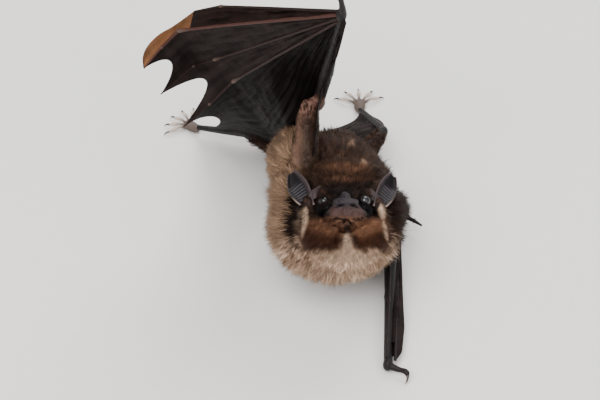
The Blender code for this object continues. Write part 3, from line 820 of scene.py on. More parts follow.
DARK_BROWN = np.array([0.011, 0.0052, 0.0036])
BACK_BROWN = np.array([0.044, 0.022, 0.0145])
TAN = np.array([0.105, 0.048, 0.026])
BUFF = np.array([0.305, 0.187, 0.116])
CREAM = np.array([0.74, 0.51, 0.36])
GREY_SKIN = np.array([0.014, 0.0105, 0.0125])
MUZZLE_SKIN = np.array([0.040, 0.0205, 0.0175])
WING_DARK = np.array([0.0055, 0.0038, 0.0036])
ARM_SKIN = np.array([0.040, 0.022, 0.0145])
PINK_SKIN = np.array([0.30, 0.155, 0.117])
NOSE_SKIN = np.array([0.024, 0.018, 0.021])
NOSTRIL = np.array([0.003, 0.0025, 0.004])
LIMB_SKIN = np.array([0.012, 0.0103, 0.0098])
EAR_INNER = np.array([0.052, 0.038, 0.040])
EAR_RIB = np.array([0.070, 0.064, 0.070])
EAR_EDGE = np.array([0.26, 0.20, 0.17])
LOBE_SKIN = np.array([0.050, 0.034, 0.034])
SOLE_SKIN, TOE_SKIN = np.array([0.10, 0.075, 0.062]), np.array([0.60, 0.49, 0.41])
# paler joints of the raised fingers: a painted highlight standing in for their glints
JOINT_HIGHLIGHT = np.array([0.10, 0.065, 0.052])
WEB_RIM = np.array([0.010, 0.007, 0.007])


@dataclass(frozen=True)
class Patch:
    """A marking or a patch of painted shade, with a soft uneven edge, laid out on the plane square to the
    animal's gaze.

    Attributes:
        across: its middle, in mm left of the nose as the animal sees it.
        up: its middle, in mm above the nose.
        wide: half its width.
        tall: half its height.
        lean: how far its top turns outwards, in degrees.
        tip: the colour of its hair's tips.
        root: the share of that colour at the hair's roots.
        strength: how fully it covers.
        deepest: how far behind the nose it reaches, in mm.
        nearest: how far behind the nose it starts, in mm.
        paired: whether it is mirrored.
    """

    across: float
    up: float
    wide: float
    tall: float
    lean: float
    tip: Array
    root: float = 0.3
    strength: float = 1.0
    deepest: float = 24.0
    nearest: float = -9.0
    paired: bool = False

    def weight(self, view: Array, noise: Array) -> Array:
        """How much of the marking lies at each place.

        Args:
            view: places across, up and towards the viewer, in mm.
            noise: what makes its edge uneven.

        Returns:
            From zero to its strength.
        """
        total = np.zeros(len(view))
        for sign in ((-1.0, 1.0) if self.paired else (1.0,)):
            across, up = view[:, 0] - sign * self.across, view[:, 1] - self.up
            turn = math.radians(self.lean) * sign
            x = (across * math.cos(turn) - up * math.sin(turn)) / self.wide
            y = (across * math.sin(turn) + up * math.cos(turn)) / self.tall
            total = np.maximum(total, 1.0 - ramp(np.hypot(x, y) + 0.09 * noise, 0.62, 1.22))
        depth = -view[:, 2]
        near = ramp(depth, self.nearest - 2.0, self.nearest)
        return total * ramp(-depth, -self.deepest - 3.0, -self.deepest) * near * self.strength


@dataclass
class Markings:
    """The colours of coat and skin at any place, painted shade included, shared by both so that they always
    agree.
    """

    body: Anatomy

    def patches(self) -> list[Patch]:
        """The markings, painted shade among them, from the widest to the smallest.

        Returns:
            The patches in the order in which they are laid on.
        """
        mask, brown = DARK_BROWN * 0.3, np.array([0.060, 0.022, 0.011])
        return [
            Patch(-18.0, 15.5, 8.0, 11.0, -16.0, BUFF * 1.2, 0.40, 0.92, 42.0),
            Patch(-18.6, 3.0, 5.5, 13.0, 0.0, BUFF * 1.25, 0.40, 0.9, 40.0),
            # dark fur beside the neck on both sides, deepened as painted shade in the gap between head and
            # shoulder
            Patch(13.4, -2.0, 4.8, 10.6, 6.0, BACK_BROWN * 0.55, 0.5, 1.0, 60.0),
            Patch(-13.1, -3.2, 3.2, 8.3, 4.0, DARK_BROWN, 0.9, 1.0, 34.0),
            Patch(0.0, 8.0, 8.8, 4.8, 0.0, TAN * 0.42, 0.25, 0.95, 26.0),
            Patch(0.0, 9.6, 7.0, 1.1, 0.0, TAN * 1.4, 0.3, 0.75, 26.0),
            Patch(0.0, 6.8, 5.2, 0.7, 0.0, TAN * 1.2, 0.3, 0.7, 26.0),
            # dark brow fur between the eyes, made darker still as painted shade
            Patch(0.0, 4.6, 6.4, 1.8, 0.0, DARK_BROWN, 0.8, 0.9),
            Patch(0.0, -1.6, 9.9, 5.0, 0.0, mask, 0.9, 1.0),
            # brown jowl fur, dark below the tan lips partly as painted shade on the jowls' underside
            Patch(6.1, -7.6, 6.2, 4.3, -12.0, brown, 0.6, 1.0, 26.0, paired=True),
            Patch(-10.4, -9.2, 3.0, 2.4, -20.0, brown, 0.6, 0.95),
            Patch(9.0, -9.4, 2.4, 2.2, 20.0, brown, 0.6, 0.9),
            Patch(-5.2, -5.3, 5.3, 2.1, 12.0, TAN * 1.5, 0.5, 1.0),
            Patch(4.8, -5.3, 5.0, 2.1, -12.0, TAN * 2.4, 0.5, 1.0),
            # painted shade in the cleft between the two jowls
            Patch(0.0, -5.6, 0.75, 1.7, 0.0, DARK_BROWN * 0.6, 0.9, 0.9),
            Patch(0.0, -13.6, 6.4, 2.5, 0.0, CREAM, 0.55, 0.95),
            Patch(0.1, -9.6, 1.2, 3.2, 0.0, CREAM * 0.8, 0.5, 0.95),
            Patch(0.1, -12.2, 3.6, 1.5, 0.0, CREAM * 0.9, 0.5, 0.95),
            Patch(-10.2, -2.9, 0.75, 2.6, 5.0, CREAM * 1.25, 0.5, 0.9),
            Patch(-10.6, -6.2, 0.4, 2.0, 8.0, CREAM * 1.1, 0.5, 0.8),
            Patch(8.6, -1.6, 0.85, 2.0, -9.0, CREAM * 1.2, 0.5, 0.9),
            Patch(9.3, -5.6, 0.45, 2.7, -9.0, CREAM * 1.15, 0.5, 0.85),
            Patch(12.0, -9.0, 0.8, 2.4, 30.0, CREAM * 0.8, 0.5, 0.75, paired=True),
            Patch(0.9, 14.1, 1.0, 2.3, 30.0, BUFF * 1.6, 0.5, 0.85, 40.0, 30.5),
            Patch(4.3, 9.8, 0.8, 1.6, 0.0, BUFF * 1.6, 0.5, 0.9, 26.0, 16.5),
            Patch(-1.0, 12.0, 0.5, 1.6, 0.0, BUFF * 1.2, 0.5, 0.7, 42.0, 26.0),
        ]

    def coat(self, points: Array) -> tuple[Array, Array]:
        """The colours of a hair at its root and at its tip.

        Args:
            points: the places of the roots.

        Returns:
            Root colours and tip colours.
        """
        trunk, view = self.body.body_view(points), self.body.gaze_view(points)
        noise, spine = ripple(points, 6.0 * MM, seed=11), self.body.spine
        streaked = points - 0.8 * (points @ spine)[:, None] * spine
        fleck = 0.6 * ripple(points, 2.2 * MM, seed=13) + ripple(streaked, 1.3 * MM, seed=17)
        band = np.sin(trunk[:, 1] * 1.15 + 0.05 * trunk[:, 0] ** 2 + noise * 0.9)
        tip = mix(BACK_BROWN, TAN * 0.6, 0.6 * ramp(band, 0.35, 0.95))
        tip = mix(tip, BUFF * 0.8, 0.5 * ramp(ripple(points, 3.6 * MM, seed=23), 1.1, 1.9))
        low = ramp(-trunk[:, 2] + 0.22 * np.abs(trunk[:, 0]) + noise * 1.2, -0.5, 4.5)
        breast, belly = low * ramp(trunk[:, 1], 8.0, 20.0), low * (1.0 - ramp(trunk[:, 1], 8.0, 20.0))
        root = mix(DARK_BROWN, BUFF * 0.55, breast)
        tip = mix(tip, mix(BUFF * 1.15, CREAM, 0.5 + 0.25 * noise + 0.2 * fleck), breast)
        root = mix(root, TAN * 0.6, 0.8 * belly)
        tip = mix(tip, (TAN + BUFF) * 0.5, 0.85 * belly)
        for patch in self.patches():
            weight = patch.weight(view, noise + 0.5 * fleck)
            tip, root = mix(tip, patch.tip, weight), mix(root, patch.tip * patch.root, weight)
        return root * (1.0 + 0.25 * noise[:, None]), tip * np.exp(0.22 * fleck[:, None])

    def skin(self, points: Array) -> Array:
        """The colour of the skin, which is the coat's root colour where fur grows.

        Args:
            points: places, one row each.

        Returns:
            A colour for each place.
        """
        root, tip = self.coat(points)
        colour = 0.62 * root + 0.38 * tip
        head, view = self.body.head_view(points), self.body.gaze_view(points)
        muzzle = mix(MUZZLE_SKIN, NOSE_SKIN, ramp(view[:, 1], -0.9, 0.6))
        muzzle = mix(muzzle, TAN * 0.5, ramp(-view[:, 1], 2.4, 4.0))
        muzzle = mix(muzzle, DARK_BROWN, ramp(np.abs(head[:, 0]), 3.4, 4.8))
        folded = both_sides(head)
        curve = line_distance(folded, np.array([(0.0, -0.2, 0.25), (1.5, -0.6, 0.2), (2.9, -2.0, -0.25)]))
        slit = np.exp(-(curve / 0.24) ** 2) * 0.8 + bump_at(folded, (1.5, -0.2, 0.1), (0.8, 1.2, 0.36))
        muzzle = mix(muzzle, NOSTRIL, np.clip(slit * 1.2, 0, 1))
        colour = mix(colour, muzzle, self.bare_face(points))
        colour = mix(colour, TAN * 1.25, 0.8 * bump_at(folded, (2.2, -2.0, -3.4), (4.4, 3.4, 0.9)))
        # the mouth line painted dark along its groove: dark lip skin and painted shade
        mouth_line_shade = line_distance(folded, np.array(
            [(0.0, -2.4, -5.0), (0.4, -2.8, -6.6), (2.2, -4.6, -8.0), (3.6, -7.6, -8.8)]))
        colour = mix(colour, DARK_BROWN * 0.5, np.exp(-(mouth_line_shade / 0.5) ** 2))
        bare, elbow = self.upper_arm(points), self.body.joints["elbow_right"]
        colour = mix(colour, ARM_SKIN, bare)
        upper = self.body.at(Side.RIGHT, "shoulder", "elbow")
        edge = np.exp(-(line_distance(points, upper + mm(-4.4, -2.0, 0.0)) / (1.5 * MM)) ** 2)
        colour = mix(colour, PINK_SKIN * 0.8, edge * bare * 0.7)
        limb = self.limb_weight(points)
        colour = mix(colour, LIMB_SKIN, limb)
        # painted shade in the hollow on the inner side of the raised elbow, beside the back
        inside = bump_at(points, elbow + mm(2.6, 0.0, 1.0), mm(2.6, 8.0, 6.0))
        colour = mix(colour, DARK_BROWN, inside)
        pink = 1.5 * bump_at(points, elbow + mm(-3.2, -2.6, 0.4), mm(4.4, 2.8, 2.1))
        pink = pink + 0.6 * bump_at(points, self.body.joints["elbow_left"], (5 * MM,) * 3)
        return mix(colour, PINK_SKIN, np.clip(pink * np.maximum(limb, self.upper_arm(points)), 0, 1) * 0.8)

    def upper_arm(self, points: Array) -> Array:
        """One on the nearly bare upper arm of the raised wing.

        Args:
            points: places, one row each.

        Returns:
            From zero to one.
        """
        shoulder, elbow = self.body.at(Side.RIGHT, "shoulder", "elbow")
        bone = np.stack([shoulder + 0.42 * (elbow - shoulder), elbow]) + mm(-2.0, 0.0, 0.0)
        return 1.0 - ramp(line_distance(points, bone), 3.2 * MM, 3.9 * MM)

    def bare_face(self, points: Array) -> Array:
        """How bare the face is, from zero to one: the nose, the upper lips and the rims of the eyes.

        Args:
            points: places, one row each.

        Returns:
            From zero to one.
        """
        head = self.body.head_view(points)
        nose = bump_at(head, (0.0, -1.6, 0.9), (3.9, 3.4, 2.4))
        nose = nose + bump_at(head, (0.0, -4.8, 3.6), (1.3, 2.2, 1.7))
        lips, rims = 0.0, 0.0
        for sign in (-1.0, 1.0):
            lips = lips + bump_at(head, (2.3 * sign, -1.6, -1.4), (2.6, 3.0, 1.6))
            nose = nose + 0.8 * bump_at(head, (2.0 * sign, -4.0, 2.2), (1.4, 2.4, 1.1))
            rims = rims + bump_at(head, (4.8 * sign, -6.5, 3.1), (0.95, 1.3, 0.9))
        return ramp(nose + lips + rims, 0.30, 0.62)

    def limb_weight(self, points: Array) -> Array:
        """One on the forearms, shins and feet, where hardly any fur grows, and zero on the body.

        Args:
            points: places, one row each.

        Returns:
            From zero to one.
        """
        tail = self.body.joints["hips"] + mm(-1.2, 20.0, -7.0)
        bare = [1.0 - ramp(np.linalg.norm(points - tail, axis=1), 8.0 * MM, 10.0 * MM)]
        for side in Side:
            arm, leg = self.body.at(side, "elbow", "wrist"), self.body.at(side, "knee", "ankle")
            bare.append(1.0 - ramp(line_distance(points, arm), 3.2 * MM, 4.4 * MM))
            bare.append(1.0 - ramp(line_distance(points, leg), 2.2 * MM, 3.2 * MM))
            bare.append(1.0 - ramp(np.linalg.norm(points - arm[1], axis=1), 9 * MM, 10 * MM))
            bare.append(1.0 - ramp(np.linalg.norm(points - leg[1], axis=1), 12 * MM, 13 * MM))
        return np.max(bare, axis=0)


# ------------------------------------------------------------------ skin

@dataclass
class Skin:
    """One skin over head, trunk and limbs, lying inside the solids by the depth of the coat."""

    body: Anatomy
    markings: Markings
    material: bpy.types.Material
    step: float = 0.34 * MM
    flesh: tuple[str, ...] = (
        "head", "jaw", "shoulders", "chest", "belly", "rump", "tail",
        "upper_arm_right", "upper_arm_left", "forearm_right", "forearm_left", "wrist_right", "wrist_left",
        "thigh_right", "thigh_left", "shin_right", "shin_left",
    )

    def head_shells(self) -> list[tuple[Array, Array]]:
        """The lumps of the skull, muzzle, lips, cheeks and chin, sized in millimetres.

        Returns:
            The points and quads of each lump.
        """
        lumps = [
            ((0, -14.2, 3.6), (8.1, 7.6, 6.8)), ((0, -9.7, 2.9), (5.0, 4.9, 3.9)),
            ((0, -5.4, -1.2), (4.6, 4.6, 3.8)), ((0, -2.3, 0.9), (2.9, 1.9, 1.45)),
            ((0, -4.8, 2.9), (1.25, 2.8, 1.55)), ((0, -7.6, -7.3), (2.5, 3.6, 2.3)),
            ((0, -12.8, -6.0), (7.2, 6.4, 4.6)),
        ]
        for sign in (-1, 1):
            lumps += [
                ((sign * 2.55, -3.0, -2.0), (2.55, 2.55, 2.2)), ((sign * 1.8, -3.9, 1.5), (1.5, 2.3, 1.15)),
                ((sign * 1.2, -0.95, 0.15), (0.95, 0.8, 0.75)),
                ((sign * 5.4, -7.7, -5.4), (4.3, 4.7, 4.1)), ((sign * 4.2, -9.0, 4.7), (2.1, 2.4, 1.5)),
                ((sign * 8.3, -11.6, 3.0), (1.9, 2.4, 2.6)), ((sign * 4.3, -6.2, 0.7), (1.7, 2.0, 1.2)),
            ]
        return [ball(self.body.on_head(*place), mm(*radii), self.body.head_axes)
                for place, radii in lumps]

    def trunk_shells(self) -> list[tuple[Array, Array]]:
        """The lumps of neck, chest, flank, belly and rump.

        Returns:
            The points and quads of each lump.
        """
        put, axes = self.body.joints, np.stack([self.body.side, self.body.spine, self.body.back])
        shoulders, hips = put["shoulders"], put["hips"]
        middle = hips + 0.45 * (shoulders - hips)
        lumps = [
            (shoulders + mm(0.1, 4.0, 2.6), (11.0, 8.6, 7.2)),
            (shoulders + mm(-2.3, 0.6, -5.6), (13.8, 12.0, 10.8)),
            (shoulders + mm(-10.8, 15.4, 1.4), (6.0, 8.6, 7.2)),
            (shoulders + mm(-10.6, 7.0, 0.0), (5.2, 6.4, 6.0)),
            (middle - self.body.side * 0.6 * MM, (11.4, 15.2, 10.6)),
            (hips + mm(0.5, 0.4, 0.3), (9.2, 11.0, 8.6)),
        ]
        return [ball(centre, mm(*radii), axes, 24) for centre, radii in lumps]

    def limb_shells(self) -> list[tuple[Array, Array]]:
        """Tapered tubes for the arms, legs and tail, with pads at the wrists.

        Returns:
            The points and quads of each tube.
        """
        put = self.body.joints
        shells = []
        limbs = [("shoulder", "elbow", (2.6, 2.3, 1.55)), ("elbow", "wrist", (1.45, 1.7, 1.05, 1.0)),
                 ("hip", "knee", (3.0, 2.5, 1.3)), ("knee", "ankle", (1.1, 1.0, 0.75))]
        for side in Side:
            for start, end, widths in limbs:
                path = np.linspace(*self.body.at(side, start, end), 16)
                if (side, start) == (Side.RIGHT, "shoulder"):
                    path = path - self.body.side * np.linspace(0.6, 2.8, 16)[:, None] * MM
                    path = path[0] + (path - path[0]) * 0.96
                    widths = (1.6, 2.2, 2.9, 2.9, 2.5)
                radii = np.interp(np.linspace(0, 1, 16), np.linspace(0, 1, len(widths)), widths) * MM
                shells.append(tube(path, radii, 14))
            aim = heading(-120, -40) if side is Side.RIGHT else np.zeros(3)
            if side is Side.RIGHT:
                knob = put["elbow_right"] + mm(-2.3, 0.2, -1.4)
                shells.append(ball(knob, mm(3.8, 2.7, 2.6)))
            shells.append(ball(put["wrist_" + side.label] + aim * 0.6 * MM, mm(1.2, 1.5, 1.7)))
        tail = self.body.tail_line(1.5, 5)
        shells.append(tube(tail, np.linspace(1.3, 0.5, len(tail)) * MM))
        return shells

    def build(self) -> bpy.types.Object:
        """Melts the lumps into one skin, refines the face and carves its features.

        Returns:
            The skin, painted and with its material.
        """
        skin = melted("skin", self.head_shells() + self.trunk_shells() + self.limb_shells(), self.step, 5)
        self.refine_face(skin)
        self.carve(skin)
        paint(skin, np.clip(self.markings.skin(points_of(skin)), DARKEST, 1.0))
        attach(dress(skin, self.material), "root")
        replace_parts(skin, *self.flesh)
        LOG.info("skin: %d faces", len(skin.data.polygons))
        return skin

    def refine_face(self, skin: bpy.types.Object) -> None:
        """Splits the faces of the muzzle and eye region once, for finer features.

        Args:
            skin: the melted skin.
        """
        work = bmesh.new()
        work.from_mesh(skin.data)
        work.verts.ensure_lookup_table()
        head = self.body.head_view(np.array([v.co[:] for v in work.verts]))
        front = (head[:, 1] > -10.5) & (np.abs(head[:, 0]) < 8.5) & (head[:, 2] > -9.5) & (head[:, 2] < 7.5)
        edges = [e for e in work.edges if front[e.verts[0].index] and front[e.verts[1].index]]
        bmesh.ops.subdivide_edges(work, edges=edges, cuts=1, use_grid_fill=True, smooth=0.6)
        work.to_mesh(skin.data)
        work.free()
        skin.data.shade_smooth()

    def carve(self, skin: bpy.types.Object) -> None:
        """Presses in the nostrils, the mouth, the eye sockets and the muzzle's furrows.

        Args:
            skin: the melted skin, refined at the face.
        """
        places, faces = points_of(skin), normals_of(skin)
        head = self.body.head_view(places)
        shift = np.zeros(len(places))

        def furrow(path: Sequence[tuple[float, float, float]], width: float, depth: float) -> Array:
            """A groove of a half width and a depth, in mm, along a path on the head."""
            line = np.array(path, float)
            return -depth * np.exp(-(line_distance(head, smooth_path(list(line), 6)) / width) ** 2)

        for sign in (-1.0, 1.0):
            shift -= 0.9 * bump_at(head, (1.5 * sign, 0.1, 0.1), (0.62, 1.0, 0.34))
            shift += 0.28 * bump_at(head, (1.6 * sign, -0.5, 0.85), (1.0, 1.0, 0.4))
            shift += furrow([(0.1 * sign, 0.0, 0.3), (1.5 * sign, -0.4, 0.2), (2.9 * sign, -1.8, -0.2),
                             (4.4 * sign, -3.6, -0.2)], 0.30, 0.38)
            shift += furrow([(0.0, -1.9, -3.6), (1.3 * sign, -3.0, -5.1), (2.5 * sign, -4.9, -6.9),
                             (3.6 * sign, -7.6, -8.6)], 0.45, 0.85)
            shift += furrow([(0.5 * sign, -1.2, -3.3), (3.0 * sign, -1.6, -3.7), (5.2 * sign, -3.8, -2.4),
                             (5.6 * sign, -5.4, -0.8)], 0.5, 0.32)
            shift -= 0.75 * bump_at(head, (5.3 * sign, -5.9, 3.0), (1.25, 1.6, 1.15))
            shift += 0.4 * bump_at(head, (2.4 * sign, -1.4, -1.7), (1.6, 2.0, 1.1))
            shift += furrow([(2.6 * sign, -2.6, 1.4), (3.9 * sign, -4.6, 1.1),
                             (5.2 * sign, -5.6, 0.4)], 0.4, 0.30)
            shift += furrow([(1.5 * sign, -3.6, 2.4), (1.7 * sign, -5.6, 3.9)], 0.4, 0.35)
        shift += furrow([(0, 0.0, 0.0), (0, -0.5, -2.0), (0, -1.5, -3.8)], 0.26, 0.42)
        front = ramp(head[:, 1], -11.0, -6.0)
        shift += 0.05 * front * ripple(places, 0.9 * MM, seed=5)
        set_points(skin, places + faces * shift[:, None] * MM)
        skin.data.shade_smooth()


# ------------------------------------------------------------------ coat

class Zone(Enum):
    """Where a lock of fur grows, which sets its length, lie and shape."""

    FACE = "face"
    CROWN = "crown"
    RUFF = "ruff"
    BACK = "back"
    REAR = "rear"
    ARM = "arm"


@dataclass(frozen=True)
class Cut:
    """How the fur of one zone is made.

    Attributes:
        count: how many locks.
        length: from root to tip, in mm.
        width: of a lock at its root, in mm.
        root_rise: how far a lock stands off the skin at its root, in degrees.
        tip_rise: the same at its tip.
        clump: how strongly tips gather, in mm.
        long: whether a lock bends at its middle.
    """

    count: int
    length: float
    width: float
    root_rise: float
    tip_rise: float
    clump: float
    long: bool = True


CUTS: dict[Zone, Cut] = {
    Zone.FACE: Cut(46000, 1.75, 0.14, 40.0, 18.0, 0.34, False),
    Zone.CROWN: Cut(19000, 2.6, 0.17, 56.0, 22.0, 0.7),
    Zone.RUFF: Cut(37000, 4.7, 0.20, 62.0, 26.0, 1.15),
    Zone.BACK: Cut(30000, 3.9, 0.21, 50.0, 15.0, 1.0),
    Zone.REAR: Cut(15000, 3.2, 0.21, 44.0, 12.0, 0.8),
    Zone.ARM: Cut(2600, 1.3, 0.10, 26.0, 8.0, 0.3),
}


@dataclass
class Coat:
    """The fur: closed, tapered locks rooted in the skin and combed along the body.

    Attributes:
        body: the skeleton.
        markings: the colours.
        skin: what it grows on.
        material: its finish.
        most_locks: how many locks one piece may hold.
        stray: how far a lock strays from the lie, as a share of its direction.
        sink: how deep a root lies under the skin, in mm.
        ridge: the thickness of a lock as a share of its width.
    """

    body: Anatomy
    markings: Markings
    skin: bpy.types.Object
    material: bpy.types.Material
    most_locks: int = 19000
    stray: float = 0.20
    sink: float = 0.12
    ridge: float = 0.42

    def zones(self, points: Array) -> dict[Zone, Array]:
        """How much each place belongs to each zone, before the bare parts are taken out.

        Args:
            points: places, one row each.

        Returns:
            A weight for each zone and place.
        """
        head, trunk = self.body.head_view(points), self.body.body_view(points)
        near = ramp(head[:, 1], -21.5, -19.0) * ramp(head[:, 2], -12.0, -10.0)
        near = near * (1.0 - ramp(np.abs(head[:, 0]), 10.5, 12.5))
        face = near * ramp(head[:, 1], -12.5, -9.5) * (1.0 - ramp(head[:, 2], 5.2, 7.2))
        arm = self.markings.upper_arm(points)
        low = ramp(-trunk[:, 2] + 0.22 * np.abs(trunk[:, 0]), -3.0, 1.0)
        forward = ramp(trunk[:, 1], 9.0, 14.0)
        rest = (1.0 - near) * (1.0 - arm)
        return {
            Zone.FACE: face * (1.0 - arm), Zone.CROWN: (near - face).clip(0.0) * (1.0 - arm),
            Zone.RUFF: rest * low * forward, Zone.BACK: rest * (1.0 - low) * forward,
            Zone.REAR: rest * (1.0 - forward), Zone.ARM: arm,
        }

    def lie(self, points: Array) -> Array:
        """The direction in which the fur is combed at each place.

        Args:
            points: places, one row each.

        Returns:
            A unit vector for each place.
        """
        body = self.body
        head, trunk = body.head_view(points), body.body_view(points)
        away = unit(points - body.on_head(0.0, -7.0, -2.0))
        muzzle_out = unit(points - body.on_head(0.0, 1.5, -1.0))
        fan = ramp(trunk[:, 1], 20.0, 42.0)
        lie = mix(-body.spine, away, fan * 0.85)
        lie[:, 2] -= 0.35 * ramp(-trunk[:, 2], -2.0, 6.0)
        near = ramp(head[:, 1], -18.0, -12.0) * ramp(head[:, 2], -12.0, -9.0)
        lie = mix(lie, muzzle_out, near)
        drop = -body.head_axes[2] + body.head_axes[0] * (0.5 * np.sign(head[:, :1]))
        jowl = bump_at(both_sides(head), (5.4, -6.0, -5.8), (4.6, 6.0, 4.0))
        lie = mix(lie, unit(drop), 0.75 * np.clip(jowl, 0, 1))
        for side in Side:
            for start, end in (("shoulder", "elbow"), ("hip", "knee")):
                a, b = body.at(side, start, end)
                hold = 1.0 - ramp(line_distance(points, np.stack([a + 0.3 * (b - a), b])), 3.2 * MM, 5.0 * MM)
                lie = mix(lie, unit(b - a), hold)
        return unit(lie + 0.16 * swirl(points, 9.0 * MM, seed=31))

    def ear_distance(self, points: Array) -> Array:
        """How far each place is from the hollow of the nearer ear, in millimetres."""
        hollow = np.array([(8.9, -10.2, 5.6), (11.0, -10.4, 10.5)])
        return line_distance(both_sides(self.body.head_view(points)), hollow)

    def reach(self, points: Array) -> Array:
        """How long the fur is at each place: shorter round the nose, before the ears and on the legs.

        Args:
            points: places, one row each.

        Returns:
            A factor on the length of the zone's locks.
        """
        nose = np.linalg.norm(points - self.body.on_head(0, -1, -1), axis=1)
        ears = self.ear_distance(points)
        reach = (0.30 + 0.70 * ramp(nose, 2.5 * MM, 8.5 * MM)) * (0.35 + 0.65 * ramp(ears, 3.0, 6.0))
        for side in Side:
            leg = self.body.at(side, "hip", "knee")
            leg[0] += 0.35 * (leg[1] - leg[0])
            reach = reach * (0.42 + 0.58 * ramp(line_distance(points, leg), 3.5 * MM, 7.0 * MM))
        return reach

    def roots(self, weights: Array, count: int, seed: int) -> tuple[Array, Array]:
        """Places and facings drawn over the skin, more where the weight is higher.

        Args:
            weights: one for each of the skin's vertices.
            count: how many roots are drawn.
            seed: of the draw.

        Returns:
            The roots' places and the skin's direction there.
        """
        rng = np.random.default_rng(seed)
        mass = self.areas * weights[self.corners].mean(axis=1)
        picked = rng.choice(len(mass), count, p=mass / mass.sum())
        u, v = rng.uniform(size=(2, count))
        flip = u + v > 1.0
        u[flip], v[flip] = 1.0 - u[flip], 1.0 - v[flip]
        shares = np.stack([1.0 - u - v, u, v], axis=-1)[:, :, None]
        corner = self.corners[picked]
        return (self.places[corner] * shares).sum(axis=1), unit((self.facings[corner] * shares).sum(axis=1))

    def unwrap(self, points: Array) -> Array:
        """Places on an unwrap of the skin: the head and the trunk round their own axes, and each limb.

        Args:
            points: places, one row each.

        Returns:
            A place on the unwrap for each, from zero to one both ways.
        """
        body = self.body
        head, trunk = body.head_view(points), body.body_view(points)
        near = (head[:, 1] > -20.0) & (head[:, 2] > -11.0) & (np.abs(head[:, 0]) < 11.5)
        turn = np.arctan2(trunk[:, 0], trunk[:, 2]) / (2.0 * math.pi) + 0.5
        made = np.stack([0.01 + 0.58 * turn, 0.01 + 0.48 * np.clip((trunk[:, 1] + 14.0) / 66.0, 0, 1)], -1)
        round_nose = np.arctan2(head[:, 0], head[:, 2])
        off = np.clip(np.arccos(np.clip(unit(head - [0, -10.0, 0])[:, 1], -1, 1)) / math.pi, 0, 1)
        ray = np.stack([np.sin(round_nose), np.cos(round_nose)], -1)
        disc = [0.25, 0.75] + 0.235 * off[:, None] * ray
        made[near] = disc[near]
        slot = 0
        for side in Side:
            for start, end in (("shoulder", "elbow"), ("hip", "knee")):
                a, b = body.at(side, start, end)
                run = b - a
                share = (points - a) @ run / (run @ run)
                out = points - a - np.clip(share, 0, 1)[:, None] * run
                hold = (np.linalg.norm(out, axis=1) < 3.4 * MM) & (share > 0.3) & (share < 1.1)
                lean = np.arctan2(out[:, 0], out[:, 1] + out[:, 2]) / (2.0 * math.pi) + 0.5
                patch = np.stack([0.62 + 0.36 * lean, 0.02 + 0.24 * slot + 0.2 * np.clip(share, 0, 1)], -1)
                made[hold] = patch[hold]
                slot += 1
        return made

    def locks(self, roots: Array, facings: Array, cut: Cut, reach: Array,
              seed: int) -> tuple[Array, Array, Array]:
        """The points and triangles of every lock.

        Args:
            roots: where the locks start.
            facings: the skin's direction there.
            cut: the zone's sizes.
            reach: a factor on each lock's length.
            seed: for the small differences between locks.

        Returns:
            Points with one row for each lock, the triangles of one lock, and how far along each point lies.
        """
        rng = np.random.default_rng(seed)
        count = len(roots)
        lie = unit(flattened(self.lie(roots), facings))
        lie = unit(flattened(unit(lie + self.stray * rng.normal(size=(count, 3))), facings))
        length = cut.length * MM * reach * rng.uniform(0.72, 1.22, count)
        spread = ripple(roots, 2.2 * MM, seed + 1)
        rise_0 = np.radians(cut.root_rise + 9.0 * rng.normal(size=count) + 7.0 * spread)
        rise_1 = np.radians(cut.tip_rise + 8.0 * rng.normal(size=count) + 9.0 * spread)
        gather = flattened(swirl(roots, 1.7 * MM, seed + 3), facings, 0.6)
        start = lie * np.cos(rise_0)[:, None] + facings * np.sin(rise_0)[:, None]
        end = lie * np.cos(rise_1)[:, None] + facings * np.sin(rise_1)[:, None]
        across = unit(np.cross(lie, facings))
        width = cut.width * MM * rng.uniform(0.75, 1.3, count)
        base = roots - facings * self.sink * MM
        middle = base + start * (0.45 * length)[:, None] + gather * (cut.clump * 0.25 * MM)
        tip = middle + end * (0.55 * length)[:, None] + gather * (cut.clump * 0.75 * MM)
        half, ridge = across * width[:, None] * 0.5, facings * width[:, None] * self.ridge
        if not cut.long:
            tip = base + unit(start + end) * length[:, None] + gather * (cut.clump * MM)
            rows = np.stack([base - half, base + half, base + ridge, tip], axis=1)
            faces = np.array([[0, 1, 3], [1, 2, 3], [2, 0, 3], [0, 2, 1]])
            return rows, faces, np.array([0.0, 0.0, 0.0, 1.0])
        rows = np.stack([base - half, base + half, base + ridge, middle - 0.8 * half, middle + 0.8 * half,
                         middle + 0.75 * ridge, tip], axis=1)
        faces = np.array([[0, 1, 4], [0, 4, 3], [1, 2, 5], [1, 5, 4], [2, 0, 3], [2, 3, 5],
                          [3, 4, 6], [4, 5, 6], [5, 3, 6], [0, 2, 1]])
        return rows, faces, np.array([0.0, 0.0, 0.0, 0.5, 0.5, 0.5, 1.0])

